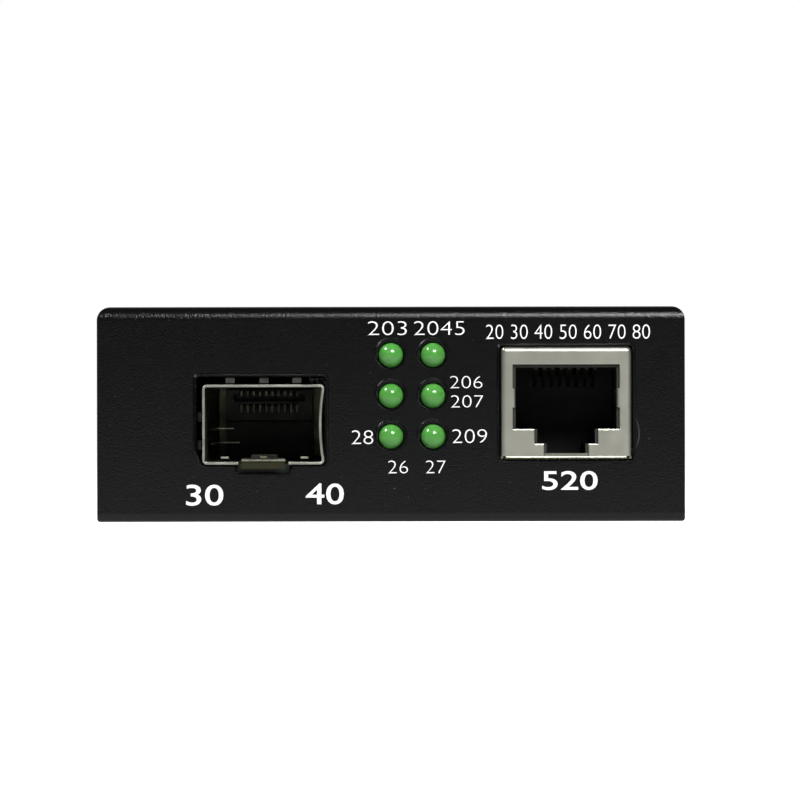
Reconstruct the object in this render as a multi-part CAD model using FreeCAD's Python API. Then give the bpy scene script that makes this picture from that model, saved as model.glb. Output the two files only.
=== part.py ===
import FreeCAD
import Part
import math
import os

# A fibre media converter: a small steel case with one copper port, one cage for an optical
# module and six status lights on its front panel, and a power inlet at the back.
# X runs to the right seen from the front, Y from the front to the back and Z up. The origin
# is the middle of the case's underside. Sizes are millimetres.

# Case and its sheet metal
case_depth = 94.0
sheet = 0.8  # steel sheet of the chassis and the cover
case_corner = 1.6  # outside radius along the cover's two long top edges
case_foot = 0.35  # outside radius of the panels' lower corners
panel_bend = 1.6  # outside radius where a panel turns into the top
base_bend = 1.0  # outside radius of the folds at the base
seam = 0.2  # gap between the cover's edges and the chassis
side_gap = 0.15  # gap between the cover's inner sides and the base
lip = 0.5  # flat of a panel's flange before it steps down under the cover
lap = 5.0  # length of the flange under the cover
skirt_lift = 0.3  # height of the cover's lower edges over the underside
past = 1.0  # how far a cut runs past the faces that it opens
touch = 0.000001  # points nearer than this are one point

# Front panel's layout, from its left edge to its right edge
panel_left = 12.725  # from the edge to the cage
cage_to_lights = 8.045  # from the cage to the first column's middle
light_column_pitch = 5.08
lights_to_jack = 8.18  # from the second column's middle to the copper port
panel_right = 6.44  # from the copper port to the edge
jack_headroom = 4.09  # from the copper port to the cover

# Cover's screws and the tabs they enter
screw_y = 0.0
tab_width = 12.0
tab_over = 4.0  # height of a tab over its screw
tab_foot = 4.0  # length of the tab's foot, in the base
tab_relief = 0.8  # slit beside a tab's fold
screw_radius = 1.45
screw_head = 2.75
screw_length = 5.0
screw_play = 0.05  # radial play of every screw
hole_sides = 20  # facets round a small hole and a cover screw

# Ventilation slots in both sides of the cover
vent_count = 4  # in each of two groups a side
vent_pitch = 4.5
vent_group = 17.0  # from the screw to the middle of a group
vent_width = 1.6
vent_height = 9.0
vent_chamfer = 0.45

# Keyholes in the base for a wall
keyhole_pitch = 50.0
keyhole_head = 3.6
keyhole_neck = 1.8
keyhole_travel = 6.0

# Circuit board and what it stands on
standoff_height = 4.5
standoff_radius = 2.9  # to the hexagon's corners
board_thickness = 1.6
board_side_gap = 1.6  # from the board's long edges to the base's edges
board_end_gap = 0.9  # from the board's ends to the panels
board_corner = 1.5
board_screw_head = 2.7
board_screw_head_height = 1.7
board_screw_crown = 0.7  # bevel round the head's top
board_screw_length = 5.0
board_screw_sides = 10
board_screw_inset = 4.45  # from the board's long edges to the screws
board_screw_left = (8.5, 25.0)  # from the front and rear panels' faces to the left screws
board_screw_right = (27.0, 8.0)  # the same for the right screws
board_notch_gap = 0.6  # room beside the cage's tongue in the board's notch
board_notch = 3.0  # depth of that notch
pin_play = 0.12  # clearance round a lead in its hole in the board
pin_end = 0.9  # length of a lead under the board

# Copper port
jack_width = 15.8
jack_height = 13.56
jack_depth = 21.3
jack_rise = 0.65  # height of the shell over the board
jack_proud = 0.35  # how far the shell stands out of the panel
jack_wall = 0.3
jack_corner = 0.6
jack_gap = 0.13  # gap round the shell in the panel
opening_corner = 0.35  # corner radius of the front panel's rectangular openings
jack_mouth_width = 12.9
jack_mouth_top = 2.15  # from the shell's top to the mouth's top
jack_mouth_height = 7.8
jack_step_width = 7.7
jack_step_height = 1.78
jack_key_width = 5.4
jack_key_height = 1.5
jack_reveal = 0.35  # how much smaller the housing's mouth is than the shell's
jack_fit = 0.05  # clearance between the shell and the housing
jack_flange = 1.6  # length of the fold under the shell's front
jack_relief = 0.6  # width of the reliefs at the fold's ends
jack_relief_height = 0.35
jack_flange_bevel = 0.15  # of the fold's front edge
jack_cavity = 14.0
jack_grip_height = 2.3  # earth springs at the sides of the mouth
jack_grip_top = 2.9  # from the mouth's top to the springs
jack_grip_reach = 0.36
jack_grip_length = 6.0
jack_grip_nose = 1.0  # straight stretch behind the spring's front fold
jack_grip_bends = (0.1, 0.3)
jack_grip_room = 0.3  # room behind the spring's rear end
jack_grip_rest = 0.05  # how far outside the mouth's side the spring's rear end lies
jack_peg_radius = 1.6
jack_peg_sides = 8
jack_peg_x = 5.7
jack_peg_y = 8.9
jack_tab_width = 1.6
jack_tab_y = 12.5
wire_count = 8
wire_pitch = 1.02
wire_width = 0.4
wire_thickness = 0.25
wire_bend = 0.4  # size of the wires' front bend
wire_hook = 1.4  # drop of the wires at their front
wire_groove = 0.12  # clearance each side of a wire
wire_front = 2.0  # from the shell's face to the wires' front bend
wire_roof = 1.35  # from the shell's top to the wires
wire_tip_depth = 10.5
wire_tip_drop = 4.9  # from the shell's top to the wires' free ends
wire_rows = (15.4, 17.94)

# Cage for an optical module
cage_width = 14.73
cage_height = 9.64
cage_depth = 48.7
cage_wall = 0.3
cage_bend = 0.25  # inside radius of the cage's folds
cage_rise = 0.05
cage_proud = 0.4
cage_dent = 0.35  # inward bow of the right wall at its front end
cage_dent_length = 12.0
cage_gap_left = 0.72
cage_gap_right = 0.12
cage_gap_top = 0.97
cage_gap_bottom = 0.1
cage_back_gap = 0.5  # under the cage's back wall, over the connector's rear leads
cage_floor_length = 31.0
cage_pin_width = 0.6
cage_pin_count = 4
cage_pin_first = 7.0  # from the cage's front edge
cage_pin_last = 2.7  # from the cage's rear edge
cage_gap_taper = 1.7  # height over which the left gap closes at its lower end
tongue_width = 4.75
tongue_slot = 0.65
tongue_length = 10.5
tongue_ramp = 8.0  # length of the tongue's rise from its root
tongue_lift = 0.45
tongue_bend = 1.0
tongue_proud = 0.2  # how far the lip's fold stands out of the cage
tongue_lip_bend = 0.2
tongue_lip_lean = 0.3  # how far the lip's end lies behind its fold
tongue_lip_drop = 1.3
tongue_lip_flare = 0.27
tongue_latch = 2.6
tongue_latch_y = 5.2  # from the cage's front edge to the latch hole's rear edge
tongue_notch_width = 6.3
tongue_notch_depth = 0.95

# Spring collar round the cage's mouth
spring_sheet = 0.12
spring_band = 2.0
spring_width = 1.1
spring_top_places = (-4.0, 0.1, 4.05)
spring_side_places = (2.35, 5.75)  # heights over the cage's bottom
spring_play = 0.05  # from a finger's crest to the panel
spring_skirt = 0.6  # from the cage's underside to the collar's ends
spring_back = 3.9  # from the panel's face to the band's rear edge
spring_heel = 1.3  # how far behind the panel's face a finger turns outward
spring_crest = 0.25
spring_tip = -0.25
spring_tip_rise = 0.12  # share of the crest's height left at a finger's tip

# Connector at the end of the cage
host_offset = -0.35
host_width = 11.2
host_nose = 4.24
host_back_gap = 1.2  # from the connector to the cage's back wall
host_nose_drop = 0.1  # under the cage's roof
host_length = 6.6
host_stem = 4.2
host_slot_height = 0.9
host_wall = 0.6  # of the stem before the lower leads
host_slot_width = 9.2
host_slot_depth = 4.6
host_pitch = 0.8
host_count = 10  # leads in a row
host_lead_width = 0.3
host_lead = 0.2
host_groove = 0.07
host_foot = 1.3
host_nose_bend = 0.2
host_lead_start = 0.3  # from the nose's face to the leads' front ends
host_upper_drop = 0.32  # from the nose's top to the upper leads
host_lower_rise = 2.2  # from the nose's underside to the lower leads
host_upper_tip = 0.66  # height of the upper leads' upright ends
host_lower_tip = 1.04

# Status lights
light_row_count = 3
light_row_first = 3.37  # from the board to the lowest row's middle
light_row_pitch = 4.92
light_radius = 1.5
light_length = 5.3
light_sides = 16
light_rings = 3
holder_sides = 8  # facets of the hole that grips a light
light_rim = 0.4
light_rim_length = 1.0
light_proud = 0.95
light_hole = 1.75
light_hole_rise = 0.17  # the holes sit a little over the lights
light_lead = 0.45
light_lead_pitch = 2.54
light_lead_reach = 1.7
light_lead_row = 2.0
light_fit = 0.08
holder_margin = 2.35
holder_gap = 0.25

# Power inlet
inlet_side = 14.5  # from the case's left side to the inlet's middle
inlet_width = 9.0
inlet_height = 11.0
inlet_depth = 14.2
inlet_corner = 1.0
inlet_proud = 0.3
inlet_gap = 0.2
inlet_shoulder = 0.6  # how much smaller the face is than the body behind the panel, all round
inlet_seat = 0.1  # from the rear panel to the shoulder
inlet_rise = 6.5  # from the board to the bore's axis
inlet_bore = 3.15
inlet_bore_depth = 9.8
inlet_pin = 1.05
inlet_pin_length = 9.2
inlet_pin_tail = 0.8  # radius of the pin inside the body
inlet_pin_nose = 0.5  # bevel of the pin's end
inlet_spring_width = 2.4
inlet_spring = 0.3
inlet_spring_leg = 3.0  # from the body's rear end to the spring's leg
inlet_spring_sink = 0.1  # how far the spring lies under the bore's wall
inlet_spring_rise = 0.45  # how far its crest stands into the bore
inlet_spring_ys = (6.5, 4.0, 2.2)  # from the inlet's face to the bends and the tip
inlet_spring_bends = (0.2, 1.5, 0.6)
inlet_blade_width = 1.8
inlet_blade = 0.5
inlet_fit = 0.05

# Parts on the board. Their places count from the lights' or the copper port's middle, and
# from the front or the rear panel's face.
chip_y = 26.0
chip_size = 12.0
chip_height = 0.9
chip_seat = 0.1
chip_lead_width = 0.4
chip_lead = 0.2
chip_lead_reach = 1.0
chip_draft = 0.12  # a moulding's slope, as a share of its height
lead_knee = 0.55  # share of a lead's reach before it steps down
sink_size = 14.0
sink_base = 1.5
sink_height = 7.0
sink_fin_count = 6
sink_fin = 0.9
pad_thickness = 0.3
pad_inset = 0.8
transformer_x = -0.56
transformer_y = 36.5
transformer_length = 15.2
transformer_width = 7.2
transformer_height = 5.6
transformer_count = 12  # leads in a row
transformer_pitch = 1.27
transformer_lead = 0.25
transformer_lead_width = 0.42
transformer_lead_reach = 1.5
crystal_x = -7.0
crystal_y = 38.0
crystal_length = 6.0
crystal_width = 3.5
crystal_height = 1.3
crystal_foot = 0.6
crystal_rim = 0.35
inductor_x = 6.0
inductor_rear = 20.0
inductor_size = 10.0
inductor_height = 4.6
inductor_chamfer = 1.2
regulator_x = -8.5
regulator_rear = 20.0
memory_x = 4.5
memory_y = 40.0
small_chip_length = 4.9
small_chip_width = 3.9
small_chip_height = 1.5
small_chip_count = 4  # leads in a row
small_chip_pitch = 1.27
can_left = -11.0
can_middle = -1.0
can_rear = 9.0
can_right = 0.84  # from the copper port's middle
can_right_rear = 20.5
can_radius = 4.0
can_sides = 14
can_height = 10.0
can_groove = 0.35
can_groove_z = 1.6
can_base = 0.9
can_base_margin = 0.15
can_base_chamfer = 1.6

lights_width = cage_to_lights + light_column_pitch + lights_to_jack
case_width = panel_left + cage_width + lights_width + jack_width + panel_right
case_height = sheet + standoff_height + board_thickness + jack_rise + jack_height + jack_headroom + sheet
front = -case_depth / 2
rear = case_depth / 2
middle_z = case_height / 2
base_half = case_width / 2 - sheet - side_gap
board_half = base_half - board_side_gap
board_bottom = sheet + standoff_height
board_top = board_bottom + board_thickness
pin_bottom = board_bottom - pin_end
cage_x = -case_width / 2 + panel_left + cage_width / 2
cage_front = front - cage_proud
cage_bottom = board_top + cage_rise
cage_top = cage_bottom + cage_height
jack_x = case_width / 2 - panel_right - jack_width / 2
jack_front = front - jack_proud
jack_bottom = board_top + jack_rise
jack_top = jack_bottom + jack_height
first_light = cage_x + cage_width / 2 + cage_to_lights
light_columns = (first_light, first_light + light_column_pitch)
light_rows = [board_top + light_row_first + i * light_row_pitch for i in range(light_row_count)]
lights_x = sum(light_columns) / 2
inlet_x = -case_width / 2 + inlet_side
inlet_z = board_top + inlet_rise

screw_x = board_half - board_screw_inset
board_screw_places = (
    (-screw_x, front + board_screw_left[0]),
    (-screw_x, rear - board_screw_left[1]),
    (screw_x, front + board_screw_right[0]),
    (screw_x, rear - board_screw_right[1]),
)
chip_place = (lights_x, front + chip_y)
transformer_place = (jack_x + transformer_x, front + transformer_y)
crystal_place = (lights_x + crystal_x, front + crystal_y)
memory_place = (lights_x + memory_x, front + memory_y)
inductor_place = (lights_x + inductor_x, rear - inductor_rear)
regulator_place = (lights_x + regulator_x, rear - regulator_rear)
can_places = (
    (lights_x + can_left, rear - can_rear),
    (lights_x + can_middle, rear - can_rear),
    (jack_x + can_right, rear - can_right_rear),
)


def vec(x, y, z):
    return FreeCAD.Vector(x, y, z)


def block(x0, x1, y0, y1, z0, z1):
    """A rectangular solid between two corners."""
    return Part.makeBox(x1 - x0, y1 - y0, z1 - z0, vec(x0, y0, z0))


def rod(radius, start, axis, length):
    """A cylinder from a point along an axis."""
    return Part.makeCylinder(radius, length, start, axis)


def put(point, plane, at):
    """A point of a plane in space: yz at x, xz at y or xy at z."""
    a, b = point
    if plane == "yz":
        return vec(at, a, b)
    if plane == "xz":
        return vec(a, at, b)
    return vec(a, b, at)


def along(plane, length):
    """The vector across a plane."""
    return {"yz": vec(length, 0, 0), "xz": vec(0, length, 0), "xy": vec(0, 0, length)}[plane]


def fillet(before, corner, after, radius):
    """Start, middle and end of the arc that rounds a corner, and its centre."""
    u = (corner - before).normalize()
    v = (after - corner).normalize()
    turn = u.getAngle(v)
    reach = radius * math.tan(turn / 2)
    start = corner - u * reach
    end = corner + v * reach
    centre = corner + (v - u).normalize() * (radius / math.cos(turn / 2))
    middle = centre + (corner - centre).normalize() * radius
    return start, middle, end


def drawn(steps):
    """A closed wire through points and through arcs of (start, middle, end)."""
    edges = []
    last = None
    first = None
    for step in steps:
        start = step[0] if isinstance(step, tuple) else step
        end = step[2] if isinstance(step, tuple) else step
        if last is not None and last.distanceToPoint(start) > touch:
            edges.append(Part.makeLine(last, start))
        if isinstance(step, tuple):
            edges.append(Part.Arc(*step).toShape())
        first = start if first is None else first
        last = end
    if last.distanceToPoint(first) > touch:
        edges.append(Part.makeLine(last, first))
    return Part.Wire(edges)


def outline(corners, plane, at):
    """A closed wire through corners of (a, b, radius)."""
    points = [put(c[:2], plane, at) for c in corners]
    steps = []
    for i, point in enumerate(points):
        radius = corners[i][2]
        if radius > 0:
            steps.append(fillet(points[i - 1], point, points[(i + 1) % len(points)], radius))
        else:
            steps.append(point)
    return drawn(steps)


def prism(corners, plane, start, end):
    """A solid with rounded corners, across a plane from start to end."""
    return Part.Face(outline(corners, plane, start)).extrude(along(plane, end - start))


def slab(a0, a1, b0, b1, radius, plane, start, end):
    """A prism on a rectangle whose corners share one radius."""
    corners = [(a0, b0, radius), (a1, b0, radius), (a1, b1, radius), (a0, b1, radius)]
    return prism(corners, plane, start, end)


def folded(path, thickness, plane, start, end):
    """A strip folded along a path of (a, b, inside radius), lying to the path's right.

    A radius of 0 is a sharp fold.
    """
    points = [FreeCAD.Vector(a, b, 0) for a, b, _ in path]
    near = []
    far = []
    for i, point in enumerate(points):
        u = (point - points[i - 1]).normalize() if i else None
        v = (points[i + 1] - point).normalize() if i + 1 < len(points) else None
        if u is None or v is None:
            heading = u if v is None else v
            near.append(point)
            far.append(point + vec(heading.y, -heading.x, 0) * thickness)
            continue
        to_right = u.x * v.y - u.y * v.x < 0
        tangent = math.tan(u.getAngle(v) / 2)
        right = vec(u.y, -u.x, 0)
        inner = point if not to_right else point + (right - u * tangent) * thickness
        outer = point if to_right else point + (right + u * tangent) * thickness
        before = u * -1
        inside = path[i][2]
        if inside == 0:
            near.append(inner if not to_right else outer)
            far.append(outer if not to_right else inner)
            continue
        arc_in = fillet(inner + before, inner, inner + v, inside)
        arc_out = fillet(outer + before, outer, outer + v, inside + thickness)
        near.append(arc_out if to_right else arc_in)
        far.append(arc_in if to_right else arc_out)
    back = [(s[2], s[1], s[0]) if isinstance(s, tuple) else s for s in reversed(far)]
    flat = near + back
    lifted = []
    for step in flat:
        if isinstance(step, tuple):
            lifted.append(tuple(put((p.x, p.y), plane, start) for p in step))
        else:
            lifted.append(put((step.x, step.y), plane, start))
    return Part.Face(drawn(lifted)).extrude(along(plane, end - start))


def turned(profile, start, axis):
    """A solid of revolution about an axis from (radius, distance along it) points."""
    points = [vec(r, 0, d) for r, d in profile]
    solid = Part.Face(Part.makePolygon(points + points[:1])).revolve(vec(0, 0, 0), vec(0, 0, 1), 360)
    solid.Placement = FreeCAD.Placement(start, FreeCAD.Rotation(vec(0, 0, 1), axis))
    return solid


def faceted(profile, sides, start, axis):
    """A many-sided solid about an axis, from (radius, distance along it) points of its side."""
    turn = FreeCAD.Rotation(vec(0, 0, 1), axis)
    angles = [2 * math.pi * (i + 0.5) / sides for i in range(sides)]
    rings = []
    for radius, d in profile:
        ring = [vec(radius * math.cos(a), radius * math.sin(a), d) for a in angles]
        rings.append([start + turn.multVec(p) for p in ring])
    faces = [Part.Face(Part.makePolygon(ring + ring[:1])) for ring in (rings[0], rings[-1])]
    for low, high in zip(rings, rings[1:]):
        for i in range(sides):
            k = (i + 1) % sides
            faces.append(Part.Face(Part.makePolygon([low[i], low[k], high[k], high[i], low[i]])))
    return Part.makeSolid(Part.makeShell(faces))


def bored(radius, start, axis, length):
    """A many-sided cylinder for a small hole."""
    return faceted([(radius, 0), (radius, length)], hole_sides, start, axis)


def joined(shapes):
    """One solid from pieces that touch."""
    first = shapes[0]
    rest = shapes[1:]
    return first.fuse(rest).removeSplitter() if rest else first


def group(shapes):
    """Separate solids in one node."""
    solids = [s for shape in shapes for s in shape.Solids]
    return Part.makeCompound(solids)


def mirrored_x(shape):
    return shape.mirror(vec(0, 0, 0), vec(1, 0, 0))


def spread(count, pitch):
    """Places evenly about zero."""
    return [(i - (count - 1) / 2) * pitch for i in range(count)]


def case_outline(y0, y1):
    """The case's outline seen from the front, as a solid from y0 to y1."""
    half = case_width / 2
    corners = [
        (-half, 0, case_foot),
        (half, 0, case_foot),
        (half, case_height, case_corner),
        (-half, case_height, case_corner),
    ]
    return prism(corners, "xz", y0, y1)


def countersunk(grow, site):
    """A cover screw at a site, or the hole it needs, wider by grow."""
    head = screw_head + grow
    shank = screw_radius + grow
    tip = screw_length + grow
    return faceted([(head, 0), (shank, head - shank), (shank, tip)], hole_sides, *site)


def cover_screw_sites():
    """Place and inward direction of each cover screw."""
    return [(vec(side * case_width / 2, screw_y, middle_z), vec(-side, 0, 0)) for side in (-1, 1)]


def screw_tab(side):
    """A tab folded up from the base's edge, for a cover screw."""
    y = screw_y
    path = [(base_half, middle_z + tab_over, 0), (base_half, 0, base_bend - sheet)]
    path.append((base_half - tab_foot, 0, 0))
    tab = folded(path, sheet, "xz", y - tab_width / 2, y + tab_width / 2)
    return tab if side > 0 else mirrored_x(tab)


def keyhole(y):
    """A round hole for a screw's head with a narrow end towards the front."""
    low = -past
    high = sheet + past
    end = y - keyhole_travel
    head = bored(keyhole_head, vec(0, y, low), vec(0, 0, 1), high - low)
    neck = bored(keyhole_neck, vec(0, end, low), vec(0, 0, 1), high - low)
    return joined([head, neck, block(-keyhole_neck, keyhole_neck, end, y, low, high)])


def jack_mouth(y0, y1, reveal):
    """The stepped mouth of the copper port, smaller at its top and sides by reveal."""
    top = jack_top - jack_mouth_top - reveal
    floor = jack_top - jack_mouth_top - jack_mouth_height
    ledge = floor - jack_step_height
    key = ledge - jack_key_height
    wide = jack_mouth_width / 2 - reveal
    mid = jack_step_width / 2 - reveal
    narrow = jack_key_width / 2 - reveal
    right = [(narrow, key), (narrow, ledge), (mid, ledge), (mid, floor), (wide, floor), (wide, top)]
    left = [(-x, z) for x, z in reversed(right)]
    return prism([(jack_x + x, z, 0) for x, z in right + left], "xz", y0, y1)


def front_openings():
    """What the front panel is pierced for: the copper port, the cage and the lights."""
    y0 = front - past
    y1 = front + sheet + past
    half = jack_width / 2 + jack_gap
    z0 = jack_bottom - jack_gap
    z1 = jack_top + jack_gap
    cuts = [slab(jack_x - half, jack_x + half, z0, z1, opening_corner, "xz", y0, y1)]
    left = cage_x - cage_width / 2 - cage_gap_left
    right = cage_x + cage_width / 2 + cage_gap_right
    low = cage_bottom - cage_gap_bottom
    high = cage_top + cage_gap_top
    corners = [
        (left + cage_gap_left, low, 0),
        (right, low, opening_corner),
        (right, high, opening_corner),
        (left, high, opening_corner),
        (left, low + cage_gap_taper, opening_corner),
    ]
    cuts.append(prism(corners, "xz", y0, y1))
    notch = tongue_notch_width / 2
    notch_low = low - tongue_notch_depth
    tongue_room = slab(cage_x - notch, cage_x + notch, notch_low, low + past, opening_corner, "xz", y0, y1)
    cuts.append(tongue_room)
    for x in light_columns:
        for z in light_rows:
            cuts.append(bored(light_hole, vec(x, y0, z + light_hole_rise), vec(0, 1, 0), y1 - y0))
    return cuts


def inlet_nose(grow, y0, y1):
    """The inlet's part in the rear panel's cut-out, larger all round by grow."""
    half = inlet_width / 2 - inlet_shoulder + grow
    z0 = board_top + inlet_shoulder - grow
    z1 = board_top + inlet_height - inlet_shoulder + grow
    return slab(inlet_x - half, inlet_x + half, z0, z1, inlet_corner + grow, "xz", y0, y1)


def chassis():
    """Base, front panel and rear panel, folded from one sheet."""
    under = case_height - sheet - seam
    step = case_height - under
    shoulder = panel_bend + lip
    flange = [(shoulder + step + lap, under, 0), (shoulder + step, under, 0), (shoulder, case_height, 0)]
    half = flange + [(0, case_height, panel_bend - sheet), (0, 0, base_bend - sheet)]
    front_half = [(front + y, z, r) for y, z, r in reversed(half)]
    rear_half = [(rear - y, z, r) for y, z, r in half]
    width = case_width / 2
    strip = folded(rear_half + front_half, sheet, "yz", -width, width)

    upper = block(-width, width, front, rear, middle_z, case_height)
    keep = [
        case_outline(front, front + base_bend),
        case_outline(rear - base_bend, rear),
        case_outline(front, front + shoulder).common(upper),
        case_outline(rear - shoulder, rear).common(upper),
        block(-base_half, base_half, front, rear, 0, middle_z),
    ]
    flange_half = width - case_corner
    keep.append(block(-flange_half, flange_half, front, rear, middle_z, case_height))
    body = strip.common(keep[0].fuse(keep[1:]))

    cuts = front_openings()
    cuts.append(inlet_nose(inlet_gap, rear - sheet - past, rear + past))
    tabs = []
    reach = tab_width / 2 + tab_relief
    inner = base_half - base_bend - sheet
    for side in (-1, 1):
        x0 = min(side * inner, side * (base_half + past))
        x1 = max(side * inner, side * (base_half + past))
        cuts.append(block(x0, x1, screw_y - reach, screw_y + reach, -past, sheet + past))
        tabs.append(screw_tab(side))
    for y in (-keyhole_pitch / 2, keyhole_pitch / 2):
        cuts.append(keyhole(y))
    body = joined([body.cut(cuts)] + tabs)
    return body.cut([countersunk(screw_play, site) for site in cover_screw_sites()])


def top_cover():
    """Top and two sides, folded from one sheet and slotted for air."""
    half = case_width / 2
    bend = case_corner - sheet
    path = [(-half, skirt_lift, 0), (-half, case_height, bend)]
    path += [(half, case_height, bend), (half, skirt_lift, 0)]
    y0 = front + base_bend + seam
    y1 = rear - base_bend - seam
    cover = folded(path, sheet, "xz", y0, y1)

    shoulder = panel_bend + lip + sheet + seam
    under = case_height - panel_bend + seam
    wide = half + past
    high = case_height + past
    cuts = [
        block(-wide, wide, front, front + shoulder, under, high),
        block(-wide, wide, rear - shoulder, rear, under, high),
    ]
    a = vent_width / 2
    b = vent_height / 2
    c = vent_chamfer
    ring = [(c - a, -b), (a - c, -b), (a, c - b), (a, b - c)]
    ring += [(-y, -z) for y, z in ring]
    for group_y in (screw_y - vent_group, screw_y + vent_group):
        for dy in spread(vent_count, vent_pitch):
            y = group_y + dy
            cuts.append(prism([(y + p, middle_z + q, 0) for p, q in ring], "yz", -wide, wide))
    cuts += [countersunk(screw_play, site) for site in cover_screw_sites()]
    return cover.cut(cuts)


def cover_screws():
    """Two countersunk screws, one in each side of the cover."""
    return group([countersunk(0, site) for site in cover_screw_sites()])


def board_standoffs():
    """Four hexagonal posts pressed onto the base."""
    bore = screw_radius + screw_play
    posts = []
    for x, y in board_screw_places:
        place = vec(x, y, sheet)
        post = faceted([(standoff_radius, 0), (standoff_radius, standoff_height)], 6, place, vec(0, 0, 1))
        hole = faceted([(bore, 0), (bore, standoff_height)], board_screw_sides, place, vec(0, 0, 1))
        posts.append(post.cut(hole))
    return group(posts)


def board_screws():
    """Four pan-head screws that hold the board on its posts."""
    screws = []
    top = board_screw_head_height
    profile = [(screw_radius, -board_screw_length), (screw_radius, 0), (board_screw_head, 0)]
    profile += [(board_screw_head, top - board_screw_crown), (board_screw_head - board_screw_crown, top)]
    for x, y in board_screw_places:
        screws.append(faceted(profile, board_screw_sides, vec(x, y, board_top), vec(0, 0, 1)))
    return group(screws)


def jack_wires_x():
    return [jack_x + x for x in spread(wire_count, wire_pitch)]


def circuit_board():
    """The board, with a hole for each screw, peg and lead."""
    y0 = front + sheet + board_end_gap
    y1 = rear - sheet - board_end_gap
    board = slab(-board_half, board_half, y0, y1, board_corner, "xy", board_bottom, board_top)
    reach = tongue_width / 2 + tongue_lip_flare + board_notch_gap
    low = board_bottom - past
    high = board_top + past
    cuts = [block(cage_x - reach, cage_x + reach, y0 - past, y0 + board_notch, low, high)]

    def drill(x, y, radius, sides):
        cuts.append(faceted([(radius, 0), (radius, high - low)], sides, vec(x, y, low), vec(0, 0, 1)))

    def slot(x, y, width, length):
        x0 = x - width / 2 - pin_play
        y0 = y - length / 2 - pin_play
        size = (width + 2 * pin_play, length + 2 * pin_play)
        cuts.append(block(x0, x0 + size[0], y0, y0 + size[1], low, high))

    for x, y in board_screw_places:
        drill(x, y, screw_radius + 2 * screw_play, board_screw_sides)
    for i, x in enumerate(jack_wires_x()):
        slot(x, jack_front + wire_rows[i % 2] + wire_thickness / 2, wire_width, wire_thickness)
    for side in (-1, 1):
        peg_y = jack_front + jack_peg_y
        drill(jack_x + side * jack_peg_x, peg_y, jack_peg_radius + pin_play, jack_peg_sides)
        x = jack_x + side * (jack_width / 2 - jack_wall / 2)
        slot(x, jack_front + jack_tab_y, jack_wall, jack_tab_width)
        for y in cage_pins_y():
            x = cage_x + side * (cage_width / 2 - cage_wall / 2)
            slot(x, y, cage_wall, cage_pin_width)
    for x, _, reach in light_lead_sites():
        slot(x, reach + light_lead / 2, light_lead, light_lead)
    for x, y, width, length in inlet_blade_sites():
        slot(x, y, width, length)
    return board.cut(cuts)


def jack_shell():
    """The copper port's plated shell: front, sides, top and back folded round the housing."""
    half = jack_width / 2
    back = jack_front + jack_depth

    skin = block(jack_x - half, jack_x + half, jack_front, back, jack_bottom, jack_top)
    high = [e for e in skin.Edges if e.CenterOfMass.z > jack_top - touch]
    folds = [e for e in high if e.CenterOfMass.y < back - touch]
    ends = [e for e in skin.Edges if abs(e.CenterOfMass.x - jack_x) > half - touch]
    folds += [e for e in ends if e.CenterOfMass.y < jack_front + touch]
    skin = skin.makeFillet(jack_corner, folds)
    inner = half - jack_wall
    near = jack_front + jack_wall
    roof = jack_top - jack_wall
    room = block(jack_x - inner, jack_x + inner, near, back - jack_wall, jack_bottom - past, roof)
    fold = half - jack_relief
    flange_end = jack_front + jack_flange
    flange_top = jack_bottom + jack_wall
    flange = block(jack_x - fold, jack_x + fold, near, flange_end, jack_bottom, flange_top)
    cuts = [jack_mouth(jack_front - past, near, 0)]
    far = jack_front - past
    low = jack_bottom - past
    wedge = [(far, low, 0), (jack_front + jack_flange_bevel + past, low, 0)]
    wedge.append((far, jack_bottom + jack_flange_bevel + past, 0))
    cuts.append(prism(wedge, "yz", jack_x - half, jack_x + half))
    for x in (jack_x - half, jack_x + fold):
        relief_top = jack_bottom + jack_relief_height
        cuts.append(block(x, x + jack_relief, far, jack_front + jack_relief, low, relief_top))
    parts = [joined([skin.cut(room), flange]).cut(cuts)]
    for side in (-1, 1):
        x0 = jack_x + side * (half - jack_wall / 2) - jack_wall / 2
        y0 = jack_front + jack_tab_y - jack_tab_width / 2
        parts.append(block(x0, x0 + jack_wall, y0, y0 + jack_tab_width, pin_bottom, jack_bottom))
        parts.append(grip(side))
    return joined(parts)


def grip(side):
    """An earth spring of the shell, bent in at one side of the mouth."""
    mouth = jack_mouth_width / 2
    y0 = jack_front
    z1 = jack_top - jack_mouth_top - jack_grip_top
    bend_front, bend_rear = jack_grip_bends
    path = [
        (mouth + jack_wall, y0, 0),
        (mouth - jack_grip_reach, y0, bend_front),
        (mouth - jack_grip_reach, y0 + jack_grip_nose, bend_rear),
        (mouth + jack_grip_rest, y0 + jack_grip_length, 0),
    ]
    strip = folded(path, jack_wall, "xy", z1 - jack_grip_height, z1)
    if side < 0:
        strip = mirrored_x(strip)
    strip.translate(vec(jack_x, 0, 0))
    return strip


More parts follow.
